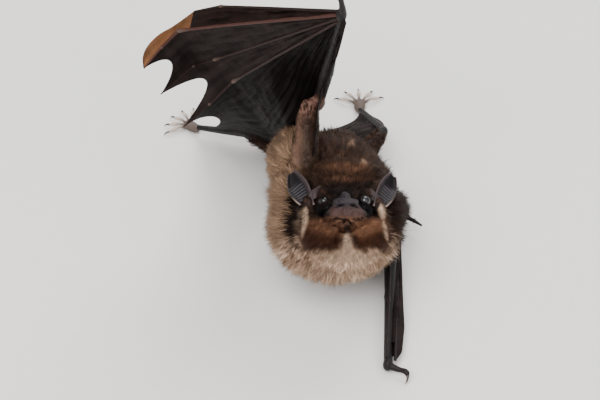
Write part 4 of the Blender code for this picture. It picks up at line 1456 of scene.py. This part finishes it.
    def piece(self, name: str, rows: Array, faces: Array, along: Array, roots: Array) -> None:
        """One object of fur from the locks given.

        Args:
            name: the object's name.
            rows: the points of each lock.
            faces: the triangles of one lock.
            along: how far along the lock each point lies.
            roots: where each lock starts.
        """
        count, size = rows.shape[:2]
        everything = (faces[None] + (np.arange(count) * size)[:, None, None]).reshape(-1, 3)
        made = mesh_object(name, rows.reshape(-1, 3), everything)
        root, _ = self.markings.coat(roots)
        _, tip = self.markings.coat(roots + LOCK_SHARE * (rows[:, -1] - roots))
        rng = np.random.default_rng(count)
        shade = rng.uniform(0.78, 1.25, (count, 1, 1))
        share = (along[None, :, None] ** 0.8)
        colours = (root[:, None] * (1 - share) + tip[:, None] * share) * shade
        paint(made, np.clip(colours.reshape(-1, 3), DARKEST, 1.0))
        layer = made.data.uv_layers.new(name="OFBake")
        across = np.resize([-1.0, 1.0, 0.0], size) * UV_LOCK[0]
        local = np.stack([across, (along - 0.5) * UV_LOCK[1]], axis=-1)
        patch = (self.unwrap(roots)[:, None] + local[None]).reshape(-1, 2)
        layer.data.foreach_set("uv", patch[everything.ravel()].astype(np.float32).ravel())
        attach(dress(made, self.material), "root")
        LOG.info("%s: %d locks", name, count)

    def build(self) -> None:
        """Grows every zone and splits it into pieces of a safe size."""
        mesh = self.skin.data
        mesh.calc_loop_triangles()
        self.corners = listed(mesh.loop_triangles, "vertices", 3).reshape(-1, 3)
        self.places, self.facings = points_of(self.skin), normals_of(self.skin)
        a, b, c = (self.places[self.corners[:, k]] for k in range(3))
        self.areas = 0.5 * np.linalg.norm(np.cross(b - a, c - a), axis=1)
        bare = np.maximum(self.markings.bare_face(self.places), self.markings.limb_weight(self.places))
        clothed = (1.0 - bare) * ramp(self.ear_distance(self.places), 2.2, 3.4)
        for number, (zone, weight) in enumerate(self.zones(self.places).items()):
            cut = CUTS[zone]
            roots, facings = self.roots(weight * clothed, cut.count, 100 + number)
            reach = self.reach(roots)
            rows, faces, along = self.locks(roots, facings, cut, reach, 200 + 10 * number)
            parts = np.array_split(np.argsort(roots[:, 1]), max(1, math.ceil(cut.count / self.most_locks)))
            for part, chosen in enumerate(parts):
                self.piece(f"fur_{zone.value}_{part + 1}", rows[chosen], faces, along, roots[chosen])


# ------------------------------------------------------------------ ears, lids, claws

def closed_sheet(grid: Array, thickness: float) -> tuple[Array, Array]:
    """A thin closed sheet from a grid of points.

    Args:
        grid: rows by columns of places.
        thickness: of the sheet.

    Returns:
        The points and quads.
    """
    rows, columns = grid.shape[:2]
    facing = grid_facing(grid)
    top, under = grid + facing * thickness / 2, grid - facing * thickness / 2
    loop = np.arange(rows * columns).reshape(rows, columns)
    quads = np.stack([loop[:-1, :-1], loop[:-1, 1:], loop[1:, 1:], loop[1:, :-1]], -1).reshape(-1, 4)
    rim = np.concatenate([loop[0], loop[1:, -1], loop[-1, -2::-1], loop[-2:0:-1, 0]])
    ahead = np.roll(rim, -1)
    count = rows * columns
    side = np.stack([rim, rim + count, ahead + count, ahead], -1)
    points = np.vstack([top.reshape(-1, 3), under.reshape(-1, 3)])
    return points, np.vstack([quads, quads[:, ::-1] + count, side])


@dataclass
class Ear:
    """A short broad ear with ribs across its hollow, a thick rim and a blunt lobe before its opening.

    Attributes:
        body: the skeleton.
        side: which ear.
        material: its finish.
        half_width: half its width at the base, in mm.
        ribs: sets how many ribs cross the hollow.
        rib_depth: how far they stand out, in mm.
        cup: how deep the hollow is, in mm.
        roll: how far each side of the blade is bent round, in radians.
    """

    body: Anatomy
    side: Side
    material: bpy.types.Material
    half_width: float = 2.85
    ribs: int = 8
    rib_depth: float = 0.30
    cup: float = 2.1
    roll: float = 1.15

    def place(self) -> None:
        """Finds the ear's own directions."""
        s = self.side.sign
        self.base = self.body.on_head(s * 8.6, -11.2, 4.2)
        self.tip = self.body.on_head(s * 12.2, -12.6, 11.5)
        self.rise = unit(self.tip - self.base)
        hollow = self.body.snout * 0.80 + self.body.head_side * s * 0.62 - self.body.crown * 0.1
        self.hollow = unit(hollow - self.rise * (hollow @ self.rise))
        self.across = unit(np.cross(self.rise, self.hollow)) * s
        self.height = float(np.linalg.norm(self.tip - self.base))

    def blade(self) -> bpy.types.Object:
        """The ear's cupped blade.

        Returns:
            The painted blade.
        """
        rows, columns = 72, 40
        u = np.linspace(-0.18, 1.0, rows)[:, None]
        v = np.linspace(-1.0, 1.0, columns)[None]
        lifted = np.clip(u, 0, 1)
        width = self.half_width * (0.62 + 0.95 * u - 1.35 * lifted**2.4) + 0.25
        bend = v * self.roll
        rib = ramp(v, -0.5, -0.15) * (1 - ramp(v, 0.9, 1.0))
        rib = rib * ramp(u, -0.13, -0.08) * (1 - ramp(u, 0.5, 0.66))
        wave = np.cos(2 * math.pi * self.ribs * 1.4 * (u + 0.08 * v * v + 0.05 * v))
        ribs = self.rib_depth * rib * wave**3
        rim = 0.5 * np.exp(-((np.abs(v) - 1.0) / 0.14) ** 2)
        curl = 0.8 * ramp(v, 0.55, 1.0) * (1 - 0.5 * lifted)
        out = self.cup * (1 - lifted * 0.75) * (1 - np.cos(bend)) + ribs + rim * 0.4 + curl * 0.6
        wide = width * np.sin(bend) / math.sin(self.roll)
        up = self.height / MM * u + 0.9 * v * (1 - u)
        grid = self.base + MM * (
            up[..., None] * self.rise + wide[..., None] * self.across + out[..., None] * self.hollow)
        made = mesh_object(f"ear_blade_{self.side.label}", *closed_sheet(grid, EAR_THICKNESS))
        inner = rib * (0.5 + 0.5 * wave) ** 3
        edge = np.exp(-((v - 1.0) / 0.07) ** 2) * (1 - 0.85 * ramp(u, -0.1, 0.3))
        edge = np.maximum(edge, np.exp(-((u + 0.16) / 0.03) ** 2) + 0 * v)
        medial = ramp(-v, 0.2, 0.9) + 0 * u
        shade = mix(GREY_SKIN * 0.3, EAR_INNER, medial.ravel())
        shade = mix(shade, EAR_RIB, 0.9 * inner.ravel())
        shade = mix(shade, EAR_EDGE, 0.8 * edge.ravel())
        paint(made, np.vstack([shade, shade]))
        return made

    def lobe(self) -> bpy.types.Object:
        """The small upright lobe that stands before the ear's opening.

        Returns:
            The painted lobe.
        """
        start = self.body.on_head(self.side.sign * 7.9, -9.5, 4.3)
        lean = unit(self.body.crown - self.body.head_side * self.side.sign * 0.75 + self.body.snout * 0.1)
        u = np.linspace(0, 1, 16)[:, None, None]
        v = np.linspace(-1, 1, 9)[None, :, None]
        width = 1.25 * (1.0 - 0.86 * u**1.4) * (0.6 + 0.9 * u * (1.0 - u) * 2.0)
        face = unit(self.body.snout - lean * (self.body.snout @ lean))
        grid = start + MM * (
            lean * 3.9 * u + np.cross(lean, face) * v * width + face * (0.2 * v * v - 0.5 * u * u))
        made = mesh_object(f"ear_lobe_{self.side.label}", *closed_sheet(grid, LOBE_THICKNESS))
        paint(made, np.tile(LOBE_SKIN, (len(made.data.vertices), 1)))
        return made

    def build(self) -> None:
        """Builds the ear in place of its solid."""
        self.place()
        made = joined(f"ear_skin_{self.side.label}", [self.blade(), self.lobe()])
        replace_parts(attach(dress(made, self.material), "root"), "ear_" + self.side.label)
        LOG.info("%s", made.name)


@dataclass
class Eye:
    """A glossy eye with the rim of skin that holds it.

    Attributes:
        body: the skeleton.
        side: which eye.
        ball_finish: the finish of the eyeball.
        skin: the finish of the lids.
        radius: of the eyeball, in mm.
        look: where it looks, as outwards, forward and up on the head.
        rim_radius: of the ring of the lids, in mm.
        rim_width: half the thickness of that ring, in mm.
        rim_sides: corners of its section.
        rim_steps: sections round it.
    """

    body: Anatomy
    side: Side
    ball_finish: bpy.types.Material
    skin: bpy.types.Material
    radius: float = 1.32
    look: tuple[float, float, float] = (0.40, 0.88, 0.16)
    rim_radius: float = 1.16
    rim_width: float = 0.24
    rim_sides: int = 10
    rim_steps: int = 40

    def build(self) -> None:
        """Dresses the eye and builds its lids as a ring that is wider at its corners."""
        low, high = (np.array(corner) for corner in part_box("eye_" + self.side.label))
        centre = (low + high) / 2
        shape = ball(centre, (self.radius * MM,) * 3, rings=24)
        eye = dress(mesh_object(f"eyeball_{self.side.label}", *shape), self.ball_finish)
        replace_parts(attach(eye, "root"), "eye_" + self.side.label)
        look = unit(np.array(self.look) * [self.side.sign, 1, 1] @ self.body.head_axes)
        level = unit(np.cross(look, self.body.crown))
        up = np.cross(level, look)
        turn = np.linspace(0, 2 * math.pi, self.rim_steps, endpoint=False)
        wide = self.rim_radius * (1.0 + 0.10 * np.cos(2 * turn))
        ring = centre + MM * (
            look * 0.42 + np.outer(wide * np.cos(turn), level) + np.outer(0.92 * wide * np.sin(turn), up))
        thick = self.rim_width * (1.0 + 0.25 * np.sin(turn) + 0.15 * np.cos(6 * turn))
        out = unit(ring - centre)
        section = np.linspace(0, 2 * math.pi, self.rim_sides, endpoint=False)
        points = ring[:, None] + MM * thick[:, None, None] * (
            np.cos(section)[None, :, None] * out[:, None] + np.sin(section)[None, :, None] * look)
        count = self.rim_steps * self.rim_sides
        faces = ring_quads(self.rim_steps + 1, self.rim_sides) % count
        made = mesh_object(f"eyelid_{self.side.label}", points.reshape(-1, 3), faces)
        lower = np.repeat(ramp(-np.sin(turn), -0.2, 0.6), self.rim_sides)
        paint(made, mix(DARK_BROWN * 0.7, GREY_SKIN * 1.5, lower * 0.5))
        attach(dress(made, self.skin), "root")


def claw(start: Array, aim: Array, down: Array, length: float, width: float) -> tuple[Array, Array]:
    """A hooked claw.

    Args:
        start: the middle of its root.
        aim: where it points at first.
        down: where it hooks towards.
        length: of its curve, in mm.
        width: of its root, in mm.

    Returns:
        The points and quads.
    """
    share = np.linspace(0, 1, 9)[:, None]
    path = start + MM * length * (aim * np.sin(share * 1.5) * 0.72 + down * (1 - np.cos(share * 1.5)) * 0.62)
    return tube(path, width * MM * (1.02 - share[:, 0] ** 1.3) * 0.5 + 0.02 * MM, 8)


@dataclass
class Foot:
    """A hind foot: a flat pad and five toes with hooked claws.

    Attributes:
        body: the skeleton.
        side: which foot.
        turn: where it points, in degrees off straight ahead.
        spread: the angle from the middle toe to each outer one, in degrees.
        skin: its finish.
        horn: the finish of its claws.
        pad: the half sizes of its pad, in mm.
        toes: how many.
        gap: between the roots of two toes, in mm.
        bones: the lengths of a toe's bones, in mm.
        nail: the length and the width of a claw, in mm.
    """

    body: Anatomy
    side: Side
    turn: float
    spread: float
    skin: bpy.types.Material
    horn: bpy.types.Material
    pad: tuple[float, float, float] = (1.55, 2.7, 1.1)
    toes: int = 5
    gap: float = 0.55
    bones: tuple[float, float] = (2.6, 2.3)
    nail: tuple[float, float] = (2.1, 0.5)

    def build(self) -> None:
        """Builds the foot in place of its solid."""
        ankle = self.body.joints["ankle_" + self.side.label]
        ahead, left = heading(self.turn, 0), heading(self.turn + 90, 0)
        down = np.array([0.0, 0.0, -1.0])
        floor = CAD_BOX[0].z
        sole = np.array([ankle[0], ankle[1], floor + 1.15 * MM]) + ahead * 2.1 * MM
        shells = [ball(sole, mm(*self.pad), np.stack([left, ahead, -down])),
                  tube(np.linspace(ankle, sole, 8), np.linspace(0.85, 1.0, 8) * MM)]
        claws = []
        middle = self.toes // 2
        for k in range(self.toes):
            aim = self.turn + self.spread * (k - middle) / middle
            root = sole + ahead * 1.2 * MM + left * (k - middle) * self.gap * MM
            knuckle = root + heading(aim, 10.0) * self.bones[0] * MM
            end = knuckle + heading(aim, -16.0) * self.bones[1] * MM
            path = smooth_path([root, knuckle, end], 8)
            swell = 0.42 + 0.10 * np.cos(np.linspace(0, 3 * math.pi, len(path)))
            shells.append(tube(path, swell * MM))
            claws.append(claw(end, heading(aim, 8.0), down, *self.nail))
        foot = melted(f"paw_{self.side.label}", shells, 0.15 * MM, 3)
        places = kept_above(foot, floor + 0.02 * MM)
        toes = ramp(np.linalg.norm(places - sole, axis=1), 2.0 * MM, 5.0 * MM)
        paint(foot, mix(SOLE_SKIN, TOE_SKIN, 0.9 * toes))
        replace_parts(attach(dress(foot, self.skin), "root"), "foot_" + self.side.label)
        nails = mesh_object(f"claws_{self.side.label}", *merged(claws))
        kept_above(nails, floor)
        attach(dress(nails, self.horn), "root")
        LOG.info("%s foot", self.side.label)


@dataclass
class Thumb:
    """The free thumb at the wrist, with its hooked claw."""

    body: Anatomy
    side: Side
    bones: tuple[tuple[float, float, float], ...]
    skin: bpy.types.Material
    horn: bpy.types.Material
    nail: tuple[float, float] = (2.2, 0.75)

    def build(self) -> None:
        """Builds the thumb in place of its solid."""
        places = self.body.chain(self.body.joints["wrist_" + self.side.label], self.bones)
        path = smooth_path(places[:3] + [places[2] + 0.25 * (places[3] - places[2])], 8)
        swell = np.interp(np.linspace(0, 1, len(path)), [0, 0.45, 0.6, 1], [1.0, 0.62, 0.72, 0.5])
        thumb = mesh_object(f"thumb_skin_{self.side.label}", *tube(path, swell * MM, 12))
        paint(thumb, np.tile(WING_DARK * 2.2, (len(thumb.data.vertices), 1)))
        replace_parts(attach(dress(thumb, self.skin), "root"), "thumb_" + self.side.label)
        aim = unit(places[3] - places[2])
        hook = unit(np.cross(np.cross(aim, places[1] - places[0]), aim)) * -1.0
        low = unit(hook + np.array([0.0, 0.0, -0.6]))
        nail = mesh_object(f"thumb_claw_{self.side.label}", *claw(path[-1], aim, low, *self.nail))
        kept_above(nail, CAD_BOX[0].z)
        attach(dress(nail, self.horn), "root")
        LOG.info("%s thumb", self.side.label)


# ------------------------------------------------------------------ wings

@dataclass(frozen=True)
class Web:
    """How one web of wing skin hangs between two lines.

    Attributes:
        scallop: how far its free edge is drawn in, as a share of the lines' length.
        start: where it begins, as a share of their length.
        sag: how far its middle hangs, in mm.
        wrinkle: the depth of its folds, in mm.
        tone: its colour.
    """

    scallop: float
    start: float = 0.02
    sag: tuple[float, float, float] = (0.0, 0.0, 0.0)
    wrinkle: float = 0.25
    tone: tuple[float, float, float] = (0.0125, 0.0085, 0.0075)


def hang(name: str, first: Array, second: Array, web: Web, material: bpy.types.Material,
         rows: int = 120, columns: int = 60) -> bpy.types.Object:
    """A thin web between two lines, with a scalloped edge, fine folds and its weave laid out.

    Args:
        name: the object's name.
        first: one line.
        second: the other line.
        web: how it hangs.
        material: its finish.
        rows: how finely it is divided along the lines.
        columns: how finely across.

    Returns:
        The web.
    """
    a = np.linspace(0, 1, columns)[None]
    u = np.linspace(0, 1, rows)[:, None]
    edge = 1.0 - web.scallop * 4.0 * a * (1.0 - a)
    share = web.start + (edge - web.start) * u
    left, right = (resample(line, share.ravel()).reshape(rows, columns, 3) for line in (first, second))
    grid = left + (right - left) * a[..., None]
    hold = np.sin(math.pi * a) * np.sin(math.pi * np.minimum(1.0, 0.15 + 0.85 * u))
    grid = grid + mm(*web.sag) * hold[..., None]
    facing = grid_facing(grid)
    span = float(np.linalg.norm(second.mean(axis=0) - first.mean(axis=0))) / MM
    length = float(np.linalg.norm(np.diff(first, axis=0), axis=1).sum()) / MM
    lay = np.stack([a * span + 0 * u, share * length, 0 * share], axis=-1).reshape(-1, 3)
    folds = ripple(lay * [1.0, 0.16, 0], 2.4, seed=71) + 0.5 * ripple(lay * [0.35, 1.0, 0], 3.6, seed=72)
    fine = 0.35 * ripple(lay * [1.0, 0.05, 0], 0.9, seed=73)
    soft = np.minimum(1.0, 6.0 * np.minimum(a, 1 - a)) * (1.0 - 0.93 * ramp(u, 0.82, 0.97))
    grid = grid + facing * ((folds + fine).reshape(rows, columns) * soft * web.wrinkle * MM)[..., None]
    made = mesh_object(name, *closed_sheet(grid, WEB_THICKNESS))
    shade = mix(np.array(web.tone), WEB_RIM, ramp(u + 0 * a, 0.975, 0.995).ravel())
    shade = shade * (1.0 + 0.22 * folds[:, None])
    paint(made, np.clip(np.vstack([shade, shade]), DARKEST, 1))
    weave = np.tile(lay[:, :2], (2, 1))
    corners = listed(made.data.loops, "vertex_index")
    made.data.uv_layers.new(name="weave").data.foreach_set("uv", weave[corners].astype(np.float32).ravel())
    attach(dress(made, material), "root")
    return made


def finger(name: str, places: Sequence[Array], radius: float, material: bpy.types.Material,
           tone: Array, knuckle: Array) -> tuple[bpy.types.Object, Array]:
    """A finger of the wing with swollen joints and a fine tip.

    Args:
        name: the object's name.
        places: its joints, from the wrist outwards.
        radius: at its root, in mm.
        material: its finish.
        tone: its colour.
        knuckle: the paler colour of its joints, a painted highlight.

    Returns:
        The finger and its middle line.
    """
    path = smooth_path(list(places), FINGER_STEPS, 0.12)
    share = np.linspace(0, 1, len(path))
    marks = np.arange(1, len(places) - 1) * FINGER_STEPS / (len(path) - 1)
    swell = np.zeros(len(path))
    for mark in marks:
        swell = np.maximum(swell, np.exp(-((share - mark) / 0.012) ** 2))
    radii = radius * (1.0 - 0.62 * share ** 1.2) * (1.0 + 0.55 * swell)
    made = mesh_object(name, *tube(path, radii * MM, 10))
    # the joints take the knuckle colour, a painted highlight
    rows = np.concatenate([[0.0], swell, [0.0]]).repeat(10)
    paint(made, mix(tone, knuckle, rows))
    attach(dress(made, material), "root")
    return made, path


@dataclass
class RaisedWing:
    """The right wing, half open: four fingers fanned from the wrist and the webs between them."""

    body: Anatomy
    web_skin: bpy.types.Material
    limb_skin: bpy.types.Material
    digits: dict[int, tuple[tuple[float, float, float], ...]] = field(default_factory=lambda: {
        2: ((34.8, -117.0, -19.6), (7.0, -101.8, -23.2)),
        3: ((48.0, -114.6, -26.3), (7.0, -90.6, -51.4), (7.0, -37.7, -16.7)),
        4: ((47.0, -121.7, -40.5), (7.4, -116.2, -37.4), (11.8, -41.9, -6.8)),
        5: ((45.1, -121.4, -48.6), (9.1, -78.8, -47.4), (9.2, -41.9, -6.2)),
    })
    radii: dict[int, float] = field(default_factory=lambda: {2: 0.34, 3: 0.5, 4: 0.44, 5: 0.44})

    def fingers(self) -> dict[int, Array]:
        """Builds the fingers and keeps their lines.

        Returns:
            The middle line of each finger, by number.
        """
        wrist, fan = self.body.joints["wrist_right"], heading(-120, -70)
        outer_tone = (0.018, 0.009, 0.007)
        tones = {2: (0.014, 0.0065, 0.005), 3: (0.052, 0.021, 0.016), 4: outer_tone, 5: outer_tone}
        lines = {}
        for number, bones in self.digits.items():
            places = self.body.chain(wrist + fan * (number - 3.0) * 1.25 * MM, bones)
            made, lines[number] = finger(f"finger_{number}_right", places, self.radii[number], self.limb_skin,
                                         np.array(tones[number]), JOINT_HIGHLIGHT)
            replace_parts(made, f"digit_{number}_right")
        return lines

    def rear_edge(self) -> Array:
        """The line along which the arm web joins forearm, flank, thigh and shin.

        Returns:
            The points of the line.
        """
        shoulder, elbow, wrist, hip, knee, ankle = self.body.at(
            Side.RIGHT, "shoulder", "elbow", "wrist", "hip", "knee", "ankle")
        between = [
            (wrist, wrist, 0.0, (-0.7, 0.4, -2.2)), (elbow, wrist, 0.5, (-0.8, 0.3, 0.0)),
            (elbow, wrist, 0.05, (-1.2, 1.0, -0.2)), (elbow, shoulder, 0.25, (-3.4, 2.4, -2.2)),
            (elbow, hip, 0.6, (-6.0, -3.0, 0.6)), (hip, knee, 0.4, (-1.0, -1.0, 2.4)),
            (knee, knee, 0.0, (-0.3, -0.8, 1.2)), (knee, ankle, 0.5, (-0.3, -0.5, 0.7)),
            (ankle, ankle, 0.0, (0.2, -0.3, 0.5)),
        ]
        return smooth_path([a + share * (b - a) + mm(*off) for a, b, share, off in between], 10)

    def build(self) -> None:
        """Builds fingers and webs in place of their solids."""
        lines = self.fingers()
        for inner, outer, scallop in ((3, 4, 0.11), (4, 5, 0.19)):
            palm = Web(scallop, wrinkle=0.15)
            web = hang(f"web_{inner}_{outer}_right", lines[inner], lines[outer], palm, self.web_skin)
            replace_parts(web, f"hand_web_{inner}_{outer}_right")
        palm_3 = resample(lines[3][:FINGER_STEPS + 1], np.linspace(0.0, 0.93, FINGER_STEPS + 1))
        web = hang("web_2_3_right", lines[2], palm_3, Web(0.0, tone=(0.009, 0.0045, 0.0035)), self.web_skin)
        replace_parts(web, "hand_web_2_3_right")
        rim, past_palm = heading(-125.0, 29.0) * MM, lines[3][FINGER_STEPS:]
        heights = ((0.05, 1.8), (0.37, 2.7), (0.68, 2.8), (0.87, 2.0), (1.0, 0.3))
        edge = [resample(past_palm, np.array([share]))[0] + rim * height for share, height in heights]
        outer = smooth_path([lines[2][-1], *edge], 10)
        # the tip web's tan tone is painted light: the glow of light shining through the thin skin from behind
        backlit_tip_web = Web(0.0, start=0.0, wrinkle=0.06, tone=(0.122, 0.053, 0.023))
        tip_line = np.vstack([palm_3[-1:], past_palm])
        web = hang("web_tip_right", tip_line, outer, backlit_tip_web, self.web_skin, rows=60, columns=24)
        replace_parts(web, "wing_tip_right")
        arm = Web(0.13, start=0.03, sag=tuple(heading(60, -10) * -2.6), wrinkle=0.17,
                  tone=(0.0048, 0.0036, 0.0034))
        web = hang("web_arm_right", lines[5], self.rear_edge(), arm, self.web_skin, rows=150, columns=90)
        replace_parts(web, "arm_web_right")
        shoulder, elbow, wrist = self.body.at(Side.RIGHT, "shoulder", "elbow", "wrist")
        arm_line = smooth_path([shoulder + 0.35 * (elbow - shoulder), elbow, wrist], 12)
        before = smooth_path([shoulder + mm(1.5, 9.0, 12.0),
                              elbow + 0.12 * (wrist - elbow) + mm(-0.8, -4.8, 0.3),
                              elbow + 0.62 * (wrist - elbow) + mm(0.8, -2.8, -0.3),
                              wrist + mm(0.8, -1.6, -1.2)], 12)
        fore = Web(0.0, start=0.03, wrinkle=0.2, tone=(0.012, 0.007, 0.0055))
        web = hang("web_fore_right", arm_line, before, fore, self.web_skin)
        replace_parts(web, "fore_web_right")
        LOG.info("raised wing")


@dataclass
class FoldedWing:
    """The left wing, folded back along its planted forearm, its webs gathered between the fingers."""

    body: Anatomy
    web_skin: bpy.types.Material
    limb_skin: bpy.types.Material
    digits: dict[int, tuple[float, float, float]] = field(default_factory=lambda: {
        2: (33.7, 177.0, 5.6), 3: (48.0, 176.9, 2.0), 4: (46.1, 177.4, 1.4), 5: (43.7, 178.4, 0.9)})
    offsets: dict[int, tuple[float, float]] = field(default_factory=lambda: {
        2: (-0.2, 2.3), 3: (1.9, 0.6), 4: (0.9, -0.7), 5: (-0.5, -0.9)})

    def build(self) -> None:
        """Builds the folded fingers and webs in place of their solids."""
        wrist, lines = self.body.joints["wrist_left"], {}
        for number, bone in self.digits.items():
            out, up = self.offsets[number]
            places = self.body.chain(wrist + mm(out, 1.0, up), [bone])
            places.insert(1, (places[0] + places[1]) / 2)
            # the folded fingers are painted lighter, their joints lighter still, as a painted highlight along
            # the planted arm
            made, lines[number] = finger(f"finger_{number}_left", places, 0.42, self.limb_skin,
                                         WING_DARK * 2.4, WING_DARK * 4.0)
            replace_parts(made, f"digit_{number}_left")
        for inner, outer in ((3, 4), (4, 5)):
            web = Web(0.04, start=0.05, sag=(0.4, 0.0, -0.2), wrinkle=0.3)
            made = hang(f"web_{inner}_{outer}_left", lines[inner], lines[outer], web, self.web_skin,
                        rows=90, columns=20)
            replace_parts(made, f"hand_web_{inner}_{outer}_left")
        bone = np.linspace(self.body.joints["elbow_left"], wrist, 30)[::-1]
        hang("web_bone_left", bone, lines[3], Web(0.0, start=0.12, sag=(0.3, 0.0, 0.4), wrinkle=0.2),
             self.web_skin, rows=90, columns=24)
        share = np.linspace(0, 1, len(lines[3]))[:, None]
        bulge = np.interp(share, [0.0, 0.06, 0.22, 0.45, 0.8, 1.0], [0.2, 1.6, 2.0, 1.3, 0.4, 0.1])
        hang("web_fold_left", lines[3], lines[3] + bulge * mm(1.0, 0.0, -0.25),
             Web(0.0, start=0.0, sag=(0.0, 0.0, 0.3), wrinkle=0.08), self.web_skin, rows=90, columns=16)
        bend, knuckle = heading(54, -2) * MM, lines[3][-1]
        places = [knuckle + bend * 0.3, knuckle + bend * 4.2 + mm(0, 0, 0.2), knuckle + bend * 6.6]
        tip, _ = finger("finger_3_tip_left", places, 0.7, self.limb_skin, WING_DARK * 1.6, WING_DARK * 2.0)
        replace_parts(tip, "digit_3_tip_left")
        LOG.info("folded wing")


@dataclass
class TailWebs:
    """The webs between the legs and the tail."""

    body: Anatomy
    web_skin: bpy.types.Material

    def build(self) -> None:
        """Builds both webs in place of their solids."""
        tail = self.body.tail_line(2.5, 8)
        for side in Side:
            hip, knee, ankle = self.body.at(side, "hip", "knee", "ankle")
            leg = smooth_path([hip + mm(0, 5.0, -2.5), knee - mm(0, 0, 0.5), ankle], 8)
            web = Web(0.16, start=0.12, wrinkle=0.2)
            made = hang(f"web_tail_{side.label}", leg, tail, web, self.web_skin, rows=60, columns=40)
            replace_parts(made, "tail_web_" + side.label)
        LOG.info("tail webs")


# ------------------------------------------------------------------ stage

@dataclass
class Stage:
    """The floor, the soft lights and the camera.

    Attributes:
        elevation: of the camera above level, in degrees.
        distance: from the camera to the middle of its view, in metres.
        seen_width: of the view at that distance, in metres.
        aim: how far the view's middle lies beside and above the focus, in mm.
        focus: the point looked at, from between the shoulders, in mm.
        lamp_distance: from each lamp to the middle of the shoulders, in metres.
    """

    body: Anatomy
    elevation: float = 46.0
    distance: float = 0.6
    seen_width: float = 0.14458
    aim: tuple[float, float] = (-11.08, 1.2)
    focus: tuple[float, float, float] = (0.1, -6.1, 9.0)
    lamp_distance: float = 0.9

    def floor(self) -> None:
        """A pale plain floor."""
        bpy.ops.mesh.primitive_plane_add(size=6.0, location=(0, 0, CAD_BOX[0].z))
        plane = bpy.context.object
        plane.name = "floor"
        kit = Nodes("floor_paint")
        kit.set("Base Color", (0.80, 0.775, 0.745, 1.0))
        kit.set("Roughness", 0.9)
        dress(plane, kit.material)

    def light(self, name: str, turn: float, rise: float, size: float, power: float) -> None:
        """A square soft light that shines on the shoulders from a direction.

        Args:
            name: the lamp's name.
            turn: its direction off straight ahead, in degrees.
            rise: the same above level.
            size: of its side, in metres.
            power: in watts.
        """
        lamp = bpy.data.lights.new(name, "AREA")
        lamp.size = size
        lamp.energy = power
        holder = bpy.data.objects.new(name, lamp)
        aim = Vector(heading(turn, rise))
        holder.location = Vector(self.body.joints["shoulders"]) + aim * self.lamp_distance
        holder.rotation_euler = aim.to_track_quat("Z", "Y").to_euler()
        bpy.context.scene.collection.objects.link(holder)

    def camera(self) -> None:
        """The camera, looking down at the face."""
        tilt = math.radians(self.elevation)
        into = np.array([0.0, math.cos(tilt), -math.sin(tilt)])
        up = np.array([0.0, math.sin(tilt), math.cos(tilt)])
        target = self.body.joints["shoulders"] + mm(*self.focus)
        target = target + (np.array([self.aim[0], 0, 0]) + up * self.aim[1]) * MM
        lens = bpy.data.cameras.new("view")
        lens.sensor_width = 36.0
        lens.lens = 36.0 * self.distance / self.seen_width
        lens.clip_start = 0.01
        holder = bpy.data.objects.new("view", lens)
        holder.location = target - into * self.distance
        holder.rotation_euler = Vector(-into).to_track_quat("Z", "Y").to_euler()
        bpy.context.scene.collection.objects.link(holder)
        bpy.context.scene.camera = holder

    def build(self) -> None:
        """Builds floor, lights, sky and camera."""
        self.floor()
        self.light("key", turn=-35.0, rise=62.0, size=0.7, power=11.0)
        self.light("fill", turn=40.0, rise=35.0, size=0.9, power=4.0)
        self.light("rim", turn=165.0, rise=48.0, size=0.6, power=7.0)
        world = bpy.data.worlds.new("sky")
        world.use_nodes = True
        world.node_tree.nodes["Background"].inputs["Color"].default_value = (0.95, 0.97, 1.0, 1.0)
        world.node_tree.nodes["Background"].inputs["Strength"].default_value = 0.55
        bpy.context.scene.world = world
        self.camera()


def main() -> None:
    """Builds and dresses the bat, piece by piece, then its stage."""
    logging.basicConfig(level=logging.INFO, format="%(name)s %(message)s")
    body = Anatomy()
    markings = Markings(body)
    face = PaintedSkin("body_skin", roughness=0.5, soft_light=0.08).make()
    ear_skin = PaintedSkin(
        "ear_skin", roughness=0.5, crease_scale=3200.0, crease_depth=0.00008, soft_light=0.15).make()
    limb = PaintedSkin("limb_skin", roughness=0.42, crease_scale=2400.0, crease_depth=0.0001).make()
    web = WingSkin("wing_skin").make()
    horn = Glossy("claw_horn", (0.045, 0.032, 0.026), roughness=0.28).make()
    eye = Glossy("eye_gloss", (0.006, 0.005, 0.006), roughness=0.24, coat=0.15).make()
    fur = Fur("fur").make()

    skin = Skin(body, markings, face).build()
    Coat(body, markings, skin, fur).build()
    for side in Side:
        Ear(body, side, ear_skin).build()
        Eye(body, side, eye, ear_skin).build()
    Foot(body, Side.RIGHT, turn=-127.0, spread=58.0, skin=limb, horn=horn).build()
    Foot(body, Side.LEFT, turn=182.0, spread=66.0, skin=limb, horn=horn).build()
    Thumb(body, Side.RIGHT, ((3.2, -20.0, 78.0), (3.6, -60.0, 74.0), (2.6, -80.0, 30.0)), limb, horn).build()
    Thumb(body, Side.LEFT, ((2.8, 62.0, -2.0), (2.6, 58.0, 6.0), (2.6, 12.0, -24.0)), limb, horn).build()
    RaisedWing(body, web, limb).build()
    FoldedWing(body, web, limb).build()
    TailWebs(body, web).build()
    Stage(body).build()


if __name__ == "__main__":
    main()
